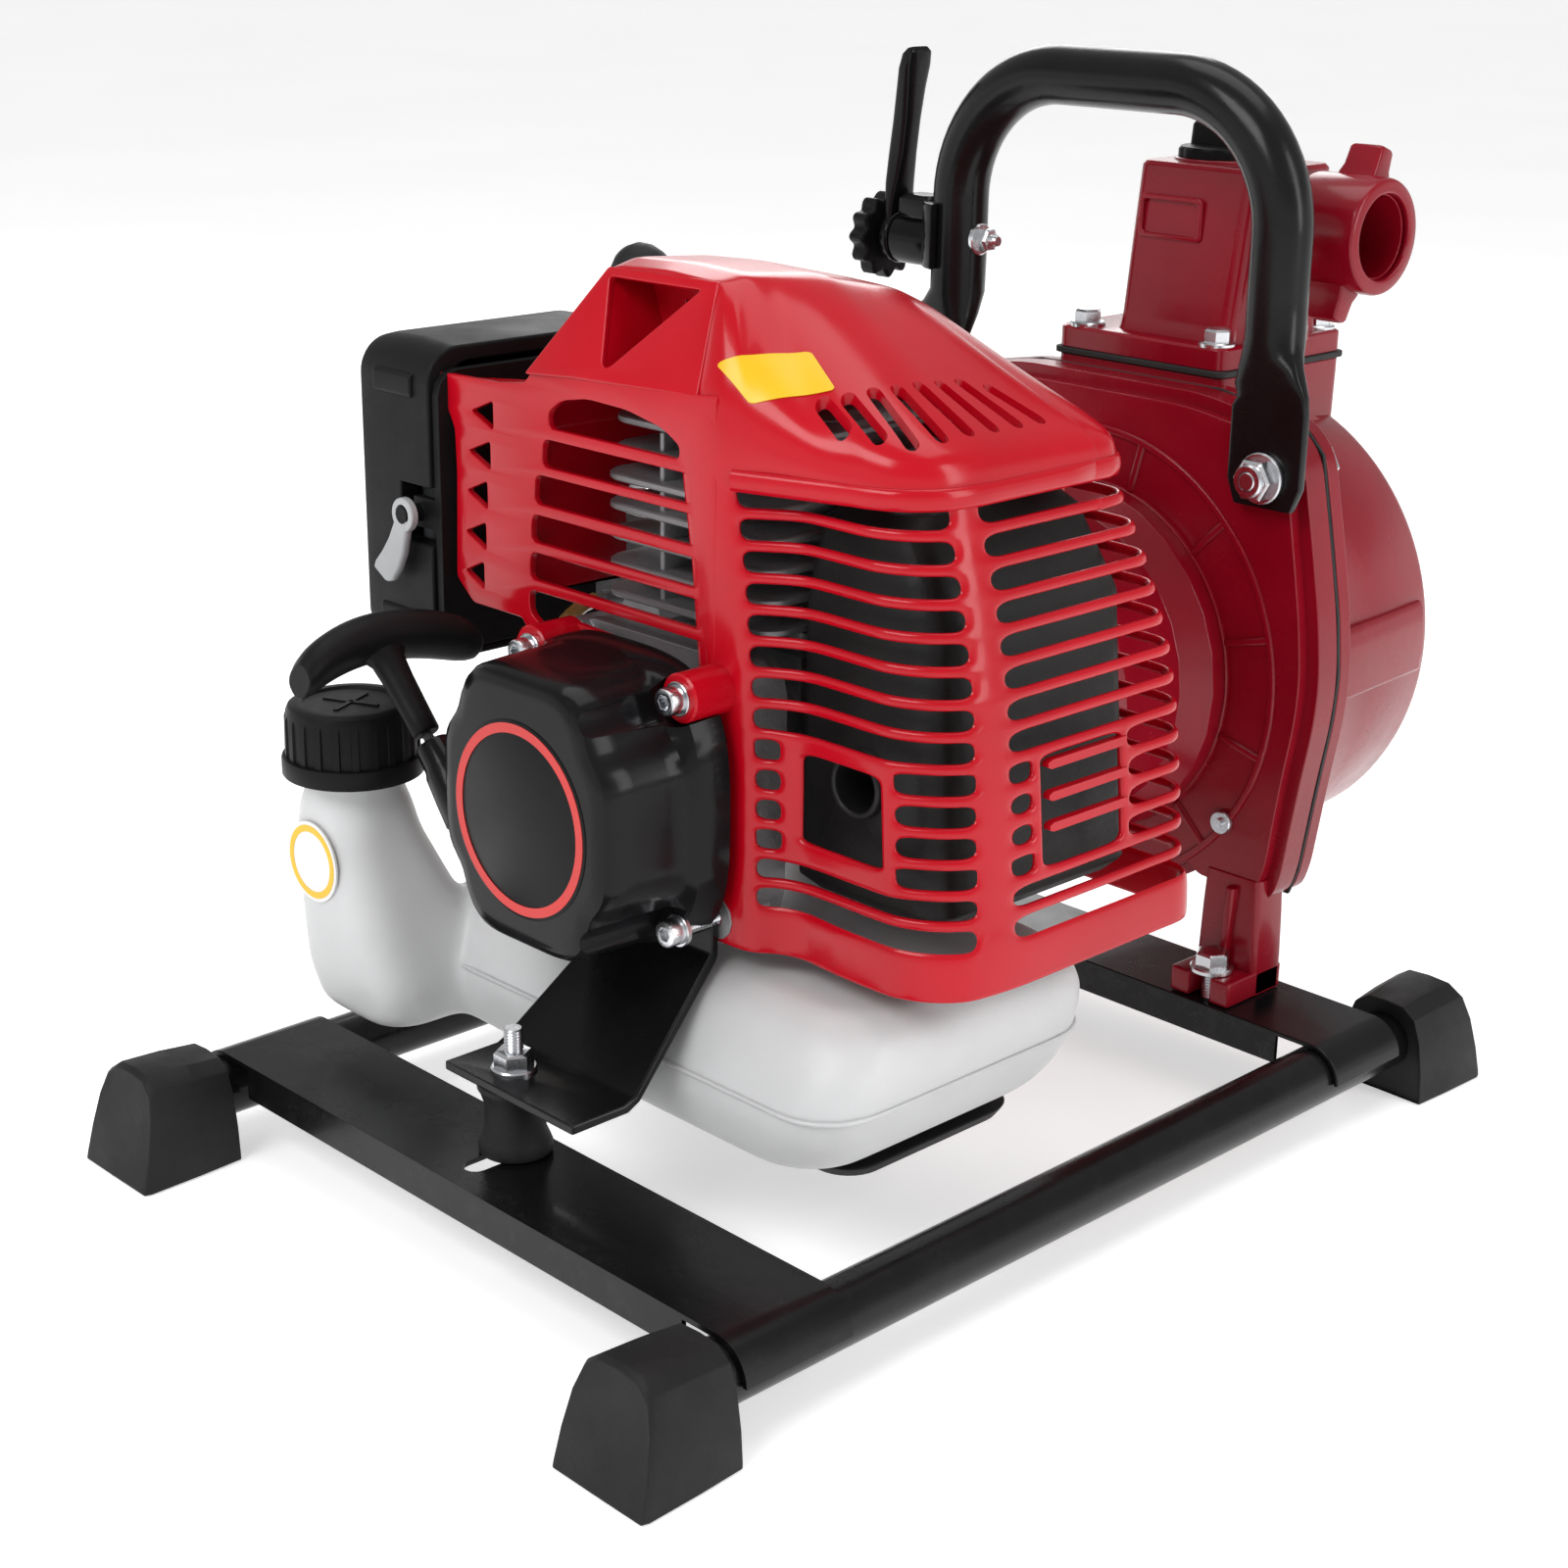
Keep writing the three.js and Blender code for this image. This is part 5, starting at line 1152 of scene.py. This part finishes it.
def build_front_case():
    flange = prism("case_flange", case_outline(), "y", 139.5, 150)
    inner = prism("case_inner", case_outline(-4.5), "y", 134.6, 140)
    parts = [flange, inner]
    for r0, r1, y in ((60, 64.5, 133.2), (80, 84, 133.4)):
        parts.append(lathe("case_ring", [(r0, 138), (r0 + 0.6, y + 0.5), (r0 + 1.2, y),
            (r1 - 1.2, y), (r1 - 0.6, y + 0.5), (r1, 138)], "y", (0, 0, CRANK_Z), 96))
    hub = lathe("case_hub", [(14.4, 146), (14.4, 133), (28, 133), (29.5, 134.5), (30, 146)], "y",
        (0, 0, CRANK_Z), 64)
    parts.append(hub)
    for a in range(15, 375, 30):
        parts.append(spoke("case_rib", CRANK_Z, 64, 82, a, 1.3, 133.4, 137))
    for side in (-1, 1):
        x0, x1 = sorted((59 * side, 84 * side))
        leg = ring_stack("case_leg", [(31.3, (x0, x1), (133.2, 150)), (44, (x0, x1), (133.2, 150)),
            (60, (x0 + 0.5, x1 - 0.5), (133.4, 150)), (74, (x0 + 1, x1 - 1), (134, 149.6))], 2.4, 4)
        pad = plate("case_pad", eased([(x0, 119), (side * FOOT_BOLT_X - 4.2, 119),
            (side * FOOT_BOLT_X - 4.2, 129.5), (side * FOOT_BOLT_X + 4.2, 129.5),
            (side * FOOT_BOLT_X + 4.2, 119), (x1, 119), (x1, 150), (x0, 150)], 1.4, 4), [],
            (0, 0, 40.2), (1, 0, 0), (0, 1, 0), 8.9, 0.7)
        rib = bar_between("leg_rib", (side * FOOT_BOLT_X, 40), (side * 73, 70), 1.6, 130.6, 134)
        parts += [leg, pad, rib]
        boss = lathe("case_boss", [(3.8, 146), (3.8, 129.4), (8.6, 129.4), (9.3, 130.1), (10, 139)],
            "y", (side * HANDLE_BOLT_X, 0, HANDLE_BOLT_Z), 40)
        parts.append(boss)
    assemble("pump_front_case", parts, red_paint, bevel=0.7, segments=3, smooth=32)
    for x in (66, -66):
        bolt = lathe("case_screw", [(0, 130.6), (1.8, 130.6), (1.8, 132), (3.8, 132), (4.2, 132.5),
            (4.2, 134.2), (0, 134.2)], "y", (x, 0, 92), 32)
        finish(bolt, zinc, slot="zinc")


def build_rear_case():
    centre = (0, 0, DRUM_Z)
    cover = prism("cover_flange", case_outline(), "y", 152, 158)
    drum = lathe("drum", [(0, 152), (79, 152), (90, 152.2), (89.4, 158), (88.6, 160), (87.6, 186),
        (84.8, 221), (83.8, 224), (81.5, 225.7), (79, 226), (60, 226), (58, 225), (26, 225),
        (24, 226), (20.6, 226), (20.6, 231), (20, 232), (16.9, 232), (16.6, 245.4), (16, 246),
        (13.7, 246), (13.7, 222), (0, 222)], "y", centre, 128)
    band = []
    for side in (-1, 1):
        rows = []
        for y, out in ((156, 0.4), (158, 4.6), (214, 3.4), (217, 2.8), (218, 0.2)):
            row = []
            for z in (135.5, 137, 143, 148, 153, 158.6, 160.4):
                edge = 0.72 if z in (135.5, 160.4) else 1
                r = math.sqrt(max((88.4 - (y - 158) * 0.057) ** 2 - (z - DRUM_Z) ** 2, 0))
                row.append((side * (r + out * edge), y, z))
            row += [(side * 70, y, 160.4), (side * 70, y, 135.5)]
            rows.append(row)
        band.append(loft("band", rows))
    neck = ring_stack("neck", [(196, (-36, 36), (156, 226.5)), (210, (-36.6, 36.6), (155.4, 226.8)),
        (236, (-37, 37), (155, 227)), (240, (-37, 37), (155, 227))], 5, 5)
    parts = [cover, drum, *band, neck]
    for side in (-1, 1):
        rows = []
        for y, top in ((157, 236), (175, 232), (200, 226), (222, 215)):
            rows.append([(side * (37 + g), y, z) for g, z in ((-6, 180),
                (3 + (top - 200) * 0.35, 185), (1.6, top), (-6, top))])
        parts.append(loft("gusset", rows))
    for a in range(200, 341, 28):
        parts.append(spoke("rear_rib", DRUM_Z, 22, 58, a, 1.4, 224, 226.6))
    assemble("pump_rear_case", parts, red_paint, bevel=0.8, segments=3, smooth=32)
    softened("case_gasket", gasket_black, bevel=0.2)


def hex_bolt(axis, centre, seat, sign, across, height, washer):
    """Hexagon head or nut with a washer under it; sign says which way it stands off its seat."""
    rows = []
    for h, g in ((0.0, 0.97), (0.25, 1.0), (height - 0.9, 1.0), (height - 0.1, 0.86),
            (height, 0.8)):
        row = []
        for k in range(60):
            a = 2 * math.pi * k / 60
            edge = hexagon_reach(a)
            r = across * min(edge, 1) * g if h > height - 1 else across * edge
            u, v = centre[0] + r * math.cos(a), centre[1] + r * math.sin(a)
            row.append(place(axis, u, v, seat + sign * h))
        rows.append(row)
    head = loft("hex", rows)
    if axis == "z":
        spot = (centre[0], centre[1], 0)
    elif axis == "y":
        spot = (centre[0], 0, centre[1])
    else:
        spot = (0, centre[0], centre[1])
    disc = lathe("washer", [(0.2, seat - sign * 1.6), (washer, seat - sign * 1.6),
        (washer, seat - sign * 0.4), (washer - 0.5, seat + sign * 0.1), (0.2, seat + sign * 0.1)],
        axis, spot, 48)
    return [head, disc]


def build_tower():
    gasket = ring_stack("tower_gasket_form", [(240.2, (-38, 38), (154, 228)),
        (242.4, (-38, 38), (154, 228))], 4)
    finish(gasket, gasket_black, node="tower_gasket", bevel=0.4)
    flange = ring_stack("tower_flange", [(242.5, (-37, 37), (155, 227)),
        (249.4, (-37, 37), (155, 227)), (250.2, (-36, 36), (156, 226))], 5, 6)
    body = ring_stack("tower_body", [(247, (-19, 35), (162, 218)),
        (251, (-17.4, 33.4), (163.6, 216.4)), (256, (-16.8, 33.2), (164.2, 215.8)),
        (303, (-14.3, 36.6), (167, 213)), (307.6, (-14, 37), (167.2, 213)),
        (309, (-13, 36), (168.2, 212))], 5, 6)
    panel = plate("tower_panel", eased([(-10.5, 283), (17, 283), (17, 298), (-10.5, 298)], 2.4),
        [eased([(-8.6, 284.8), (15.2, 284.8), (15.2, 296.2), (-8.6, 296.2)], 1.8)],
        (0, 165.9 - 1.0, 0), (1, 0, 0), (0, 0, 1), 2.4, 0.45)
    barrel = lathe("port_barrel", [(13.7, 20), (16.8, 20), (17.6, 22), (17.4, 40), (16.3, 43),
        (16.2, 71), (15.6, 72), (13.7, 72)], "x", (0, TOWER_Y, OUTLET_Z), 64)
    rows = []
    for z, r in ((249, 17.6), (262, 15.6), (275, 15.0), (292, 15.2), (300, 13.5), (304, 9)):
        rows.append([(24 + r * c, TOWER_Y + r * 1.3 * s, z) for c, s in turns(40)])
    swell = loft("tower_swell", rows)
    cap_seat = lathe("plug_seat", [(11.4, 305), (16.4, 305), (16.4, 309.2), (15.8, 309.9),
        (11.4, 309.9)], "z", (PLUG_X, TOWER_Y, 0), 48)
    assemble("discharge_tower", [flange, body, panel, barrel, swell, cap_seat], red_paint,
        bevel=0.8, segments=3, smooth=34)
    heads = []
    for x, y in ((-28, 161.5), (29.6, 161.5), (-28, 220.5), (29.6, 220.5)):
        heads += hex_bolt("z", (x, y), 251.4, 1, 4.9, 4.6, 6.4)
    finish(fuse("tower_flange_bolts", heads), zinc, smooth=30)
    rows = []
    for z, r in ((309.4, 14.4), (309.8, 15), (312.6, 15), (313.6, 14.2), (313.8, 12)):
        row = []
        for k, (c, s) in enumerate(turns(72)):
            rr = r - (0.5 if k % 6 < 2 and r > 14.5 else 0)
            row.append((PLUG_X + rr * c, TOWER_Y + rr * s, z))
        rows.append(row)
    disc = loft("plug_disc", rows)
    shaft = lathe("plug_shaft", [(0, 303), (10.7, 303), (10.9, 304), (10.9, 310), (0, 310)], "z",
        (PLUG_X, TOWER_Y, 0), 40)
    wing = loft("plug_wing", [[(PLUG_X + u * g, TOWER_Y + v * w, z) for u,
        v in rounded(-12.5, 12.5, -3, 3, 2.6, 4)] for z, g, w in ((313, 1.0, 1.15), (316, 1.0, 1.0),
        (320.4, 0.97, 0.95), (321.6, 0.9, 0.82), (322, 0.8, 0.6))])
    assemble("priming_plug", [disc, shaft, wing], satin_plastic, "priming_cap", bevel=0.3,
        smooth=36)


def build_collar():
    ring = lathe("collar", [(16.6, 46.2), (18.6, 46), (19.4, 46.6), (19.6, 47.6), (19.6, 72.6),
        (19.2, 74), (18.2, 74.6), (14.9, 74.6), (14.4, 74), (14.4, 72.6), (16.6, 72.4)], "x",
        (0, TOWER_Y, OUTLET_Z), 80)
    lugs = []
    for lean in (20, 200):
        t = math.radians(-lean)
        c, s = math.cos(t), math.sin(t)
        rows = []
        for r, half_w, half_t in ((16.5, 7.6, 6.4), (19.6, 7.4, 5.6), (22.5, 6.8, 4.6),
                (28.6, 6.6, 4.1), (29.7, 6.1, 3.5), (30.0, 5.0, 2.6)):
            rows.append([(60 + u, TOWER_Y + v * c - r * s, OUTLET_Z + v * s + r * c) for u,
                v in rounded(-half_w, half_w, -half_t, half_t, 1.6, 4)])
        lugs.append(loft("lug", rows))
    assemble("outlet_coupling", [ring, *lugs], red_paint, "outlet_collar", bevel=0.5, segments=3,
        smooth=36)


# ------------------------------------------------------------------ carrying handle
def build_handle():
    def half(sign):
        out = [((75.5, 206), "flat"), ((75.5, 214), "flat"), ((75.5, 226), "flat"),
            ((75.5, 237), "flat"), ((75.0, 241), "flat"), ((73.8, 245), "swage"),
            ((72.4, 249), "swage"), ((71.0, 254), "turn"), ((70.2, 260), "round"),
            ((70, 274), "round")]
        for i in range(0, 17):
            a = math.radians(90 * i / 16)
            out.append(((25 + 45 * math.cos(a), 293 + 45 * math.sin(a)), "round"))
        return [((sign * x, z), kind) for (x, z), kind in out]
    stations = half(1) + half(-1)[::-1]
    kinds = {"flat": (14.5, 1.9, -7.2, 0.22), "swage": (12.6, 4.2, -5.2, 0.5),
        "turn": (11.0, 7.6, -2.4, 0.8), "round": (10, 10, 0, 1)}
    rows = []
    for i, ((x, z), kind) in enumerate(stations):
        bx, bz = stations[max(i - 1, 0)][0]
        ax, az = stations[min(i + 1, len(stations) - 1)][0]
        along = Vector((ax - bx, az - bz)).normalized()
        half_w, half_d, shift, power = kinds[kind]
        if i in (0, len(stations) - 1):
            half_w -= 3.2
        row = []
        for c, s in turns(48):
            u, v = half_w * signed_power(c, power), half_d * signed_power(s, power)
            row.append((x + along.y * u, HANDLE_Y + shift + v, z - along.x * u))
        rows.append(row)
    tube = loft("carry_handle_form", rows)
    for side in (-1, 1):
        carve(tube, lathe("hole", [(0, 120), (3.6, 120), (3.6, 142), (0, 142)], "y",
            (side * HANDLE_BOLT_X, 0, HANDLE_BOLT_Z), 32))
    finish(tube, black_paint, node="carry_handle", bevel=0.35, smooth=50)
    for side, node in ((-1, "handle_bolt_left"), (1, "handle_bolt_right")):
        x, z = side * HANDLE_BOLT_X, HANDLE_BOLT_Z
        front = 128.6
        pieces = hex_bolt("y", (x, z), front - 1.6, -1, 7.4, 5.0, 8.6)
        pieces.append(lathe("nylon", [(3.3, front - 6.5), (5.4, front - 6.5), (5.6, front - 7.7),
            (5.0, front - 8.4), (3.3, front - 8.4)], "y", (x, 0, z), 40))
        pieces.append(threads("y", (x, 0, z), 3.2, front - 8.7, 161, 28))
        pieces += hex_bolt("y", (x, z), 158.6, 1, 7.4, 4.6, 8.2)
        assemble(node, pieces, zinc, smooth=30)
    for side, node in ((-1, "foot_bolt_left"), (1, "foot_bolt_right")):
        pieces = hex_bolt("z", (side * FOOT_BOLT_X, FOOT_BOLT_Y), 42.2, 1, 6.2, 5.4, 7.6)
        pieces.append(threads("z", (side * FOOT_BOLT_X, FOOT_BOLT_Y, 0), 3.3, 18, 45, 28))
        pieces += hex_bolt("z", (side * FOOT_BOLT_X, FOOT_BOLT_Y), 27.8, -1, 6, 5.2, 6.8)
        assemble(node, pieces, zinc, smooth=30)
    nut = hex_bolt("z", (0, MOUNT_Y), 59.6, 1, 6.2, 5.2, 7.2)
    assemble("isolator_nut", nut, zinc, smooth=30)
    rubber_mount = lathe("isolator_rubber", [(0, 31.3), (10.4, 31.3), (11.4, 32), (11.5, 34),
        (10.6, 36.4), (9.5, 39), (9.3, 44), (9.5, 48), (10.6, 51.4), (11.5, 53), (11.3, 54.6),
        (10.6, 55), (0, 55)], "z", (0, MOUNT_Y, 0), 64)
    finish(rubber_mount, rubber, node="isolator_mount", bevel=0.3)
    stud = threads("z", (0, MOUNT_Y, 0), 3.0, 54, 72, 28)
    finish(stud, zinc, slot="zinc", smooth=30)


build_front_case()
build_rear_case()
build_tower()
build_collar()
build_handle()

# ------------------------------------------------------------------ throttle control
def build_throttle():
    clamp = lathe("clamp", [(10.3, 268), (13.2, 268), (13.8, 269), (13.8, 290), (13.2, 291),
        (10.3, 291)], "z", (-70, HANDLE_Y, 0), 56)
    carve(clamp, loft("opening", [[(x, u, v) for u, v in ((120, 260), (156, 260), (156, 300),
        (120, 300))] for x in (-72, -50)]))
    hub = lathe("hub", [(0, -97.7), (8.4, -97.7), (9.2, -97), (9.2, -84), (8, -80), (0, -80)], "x",
        THROTTLE_AXIS, 48)
    pivot = lathe("pivot", [(0, -107), (3.2, -107), (3.7, -106.4), (3.7, -90), (0, -90)], "x",
        THROTTLE_AXIS, 32)
    arm = ring_stack("guide", [(284, (-95, -80), (132, 144)), (286, (-96, -80), (131, 145)),
        (291, (-96, -80), (131.4, 144.6)), (292.4, (-94, -81), (133, 143))], 3, 5)
    assemble("throttle_body", [clamp, hub, pivot, arm], black_plastic, bevel=0.4, smooth=34)
    nut = hex_bolt("x", (HANDLE_Y, CLAMP_Z), -59.2, 1, 4.4, 4.6, 5.6)
    tail = threads("x", (0, HANDLE_Y, CLAMP_Z), 2.2, -56, -51.5, 24)
    finish(fuse("throttle_clamp_bolt", [*nut, tail]), zinc, slot="zinc", smooth=30)
    path = [(-100.6, HANDLE_Y, 281), (-100.6, HANDLE_Y, 288), (-100.2, 137.8, 296),
        (-98.6, 137.2, 306), (-96.4, 136.6, 318), (-94.2, 136, 329), (-92.2, 135.4, 337),
        (-90.8, 135, 342), (-90.4, 134.8, 344)]
    widths = [6.6, 6.4, 5.6, 4.8, 4.8, 5.6, 6.6, 6.2, 4.2]
    thick = [2.0, 2.2, 3.6, 4.2, 4.0, 3.6, 3.2, 2.7, 1.6]
    rows = []
    for (x, y, z), w, t in zip(path, widths, thick):
        section = [(w * signed_power(c, 0.6), t * signed_power(s, 0.6)) for c, s in turns(28)]
        rows.append([(x + v * 0.98, y + u, z + v * 0.2) for u, v in section])
    blade = loft("blade", rows)
    eye = lathe("eye", [(4.1, -102), (8.8, -102), (9.5, -101.3), (9.5, -98.7), (8.8, -98),
        (4.1, -98)], "x", THROTTLE_AXIS, 48)
    assemble("throttle_lever", [blade, eye], black_plastic, "throttle_arm", bevel=0.3, smooth=50)
    rows = []
    for x, g in ((-104, 0.93), (-104.8, 1), (-110.4, 1), (-111.6, 0.94), (-112, 0.86)):
        row = []
        for i in range(96):
            a = 2 * math.pi * i / 96
            r = (14.5 + 1.2 * math.cos(12 * a)) * g
            row.append((x, HANDLE_Y + r * math.cos(a), THROTTLE_Z + r * math.sin(a)))
        rows.append(row)
    dial = loft("dial", rows)
    finish(dial, satin_plastic, "throttle_knob", "throttle_dial", smooth=40, bevel=0.3)


build_throttle()

# ------------------------------------------------------------------ intake, ignition, inner parts
def slab(name, lows_highs, box, radius, steps=4):
    """Bar with rounded corners between two values of x."""
    return loft(name, [[(x, u, v) for u, v in rounded(*box, radius, steps)] for x in lows_highs])


def build_air_filter():
    shell = []
    for x, grow in ((-96, 0), (-97, 0.3), (-114, 1.2), (-128, 0.8), (-133, -0.6), (-135.4, -3.6),
            (-136, -6.6)):
        shell.append([(x, u, v) for u, v in rounded(-81.3 - min(grow, 0), 10 + grow, 156 - grow,
            258.5 + grow, 12 + grow, 10)])
    cover = loft("filter_shell", shell)
    carve(cover, slab("filter_hollow", (-128.5, -90), (-74, 7.5, 158.5, 253.5), 10, 8))
    carve(cover, slab("slot_box", (-112, -94), (-90, -70, 195, 214), 2))
    ridges = [slab("ridge", (-124, -104), (-82.4, -78, z - 4, z + 4), 1.6) for z in (168, 246)]
    tabs = [slab("tab", (-120, -108), (y - 6, y + 6, 151.5, 158), 2) for y in (-60, -36, -12)]
    assemble("air_filter_cover", [cover, *ridges, *tabs], satin_plastic, bevel=0.7, segments=3,
        smooth=34)
    softened("air_filter_base", satin_plastic, bevel=0.5)
    softened("air_filter_element", foam, bevel=1.0)
    blade = []
    lever_path = [(-104, 205), (-105.6, 200), (-108, 194), (-111.4, 188.6), (-115, 184.6),
        (-117, 183.2)]
    for (x, z), w in zip(lever_path, (3.4, 3.8, 4.6, 5.2, 5.4, 4.2)):
        blade.append([(x + 0.86 * u, -85.8 + v, z - 0.51 * u) for u,
            v in rounded(-w, w, -1.6, 1.6, 1.3, 4)])
    choke = loft("choke_blade", blade)
    hub = lathe("choke_hub", [(3.3, -87.2), (5.2, -87.2), (5.6, -86.8), (5.6, -84.6), (3.3, -84.6)],
        "y", (-104, 0, 205), 40)
    assemble("choke_lever", [choke, hub], grey_plastic, "choke", bevel=0.25, smooth=40)


def build_plug():
    start = Vector((-6, -14, 237)).lerp(Vector((-48, -27, 281)), 0.4)
    end = Vector((-53, -29, 282.5))
    axis = (end - start).normalized()
    length = (end - start).length
    side = axis.cross(Vector((0, 0, 1))).normalized()
    other = axis.cross(side)
    rows = []
    profile = [(0, 5.4), (0, 9.2), (3, 9.6), (6, 9.4), (9, 9.0), (14, 9.2), (length - 8, 9.4),
        (length - 4, 9.8), (length, 9.8), (length + 4, 8.8), (length + 7.2, 6.6), (length + 9, 3.4),
        (length + 9.5, 0.2)]
    for d, r in profile:
        centre = start + axis * d
        rows.append([tuple(centre + side * r * c + other * r * s) for c, s in turns(48)])
    boot = loft("plug_boot_form", rows)
    finish(boot, rubber, node="plug_boot", smooth=60)


def build_primer():
    """Soft bulb under the carburettor."""
    bulb = lathe("primer_bulb_form", [(0, 153), (2.6, 153.2), (4.8, 154.1), (6.5, 155.8),
        (7.5, 158), (7.9, 160.6), (8, 163.7), (0, 163.7)], "z", (-62, -13, 0), 48)
    finish(bulb, grey_plastic, "primer", "primer_bulb", smooth=50)
    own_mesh(bulb)


def build_bracket():
    """Bent steel strip: a foot on the rubber mount, a sloping web and a tab behind the starter."""
    web = [(-139.5, 55.3), (-118, 55.3), (-113.4, 57.6), (-77.6, 90.6), (-76.7, 92.4), (-76.7, 114),
        (-79.7, 114), (-79.7, 93.4), (-115.4, 60), (-119.4, 58.3), (-139.5, 58.3)]
    rows = []
    for x in (-19, 42):
        rows.append([(x + (6 if x > 0 else 9) * min(max((z - 60) / 30, 0), 1) * (-1 if x > 0
            else 1), y, z) for y, z in web])
    strip = loft("bracket_strip", rows)
    carve(strip, lathe("stud_hole", [(0, 50), (3.6, 50), (3.6, 62), (0, 62)], "z", (0, MOUNT_Y, 0),
        32))
    finish(strip, black_paint, node="engine_bracket", bevel=0.7, segments=3)


def build_cylinder():
    parts = [ring_stack("deck", [(177.3, (-27, 27), (-35, 19)), (183, (-27, 27), (-35, 19))], 5),
        lathe("barrel", [(20.2, 177.3), (25, 177.3), (25, 246), (0, 246), (0, 233), (20.2, 233)],
        "z", (0, -8, 0), 64), slab("ports", (-42, 41.5), (-20, 4, 190, 212), 3)]
    for i in range(7):
        z = 188 + 9.2 * i
        reach = 38 if i < 5 else 34
        parts.append(ring_stack("fin", [(z, (-reach + 0.5, reach - 0.5), (-59.5, reach - 11.5)),
            (z + 0.5, (-reach, reach), (-60, reach - 11)), (z + 1.9, (-reach, reach),
            (-60, reach - 11)), (z + 2.4, (-reach + 0.6, reach - 0.6), (-59.4, reach - 11.6))], 9))
    for x in (-12, 12):
        parts.append(ring_stack("web", [(z, (x - 1, x + 1), (-57, 26)) for z in (188, 242)], 0.8,
            3))
    assemble("cylinder", parts, casting, smooth=34)
    nuts = []
    for x in (-22, 22):
        nuts += hex_bolt("z", (x, -37.5), 186.0, 1, 4.6, 4.2, 6.2)
    finish(fuse("cylinder_nuts", nuts), zinc, slot="zinc", smooth=30)


build_primer()
build_bracket()
build_cylinder()
build_air_filter()
build_plug()
for node, material, body, edge in (("crankcase", casting, "chassis", 0.8),
        ("muffler", muffler_black, "chassis", 2.2), ("carburettor", casting, "chassis", 0.6),
        ("fan_housing", red_paint, "chassis", 0.6), ("flywheel", casting, "rotor", 0.4),
        ("ignition_coil", satin_plastic, "chassis", 0.5), ("fuel_line", hose, "chassis", 0.2)):
    softened(node, material, body, bevel=edge, segments=3, flat=1.0)
for node, material in (("crankshaft", steel), ("bearing_front", steel), ("bearing_rear", steel),
        ("piston", casting), ("spark_plug", steel), ("starter_pulley", satin_plastic),
        ("impeller", casting), ("shaft_seal", rubber)):
    NODE_OBJECTS[node].data.materials.clear()
    NODE_OBJECTS[node].data.materials.append(material)
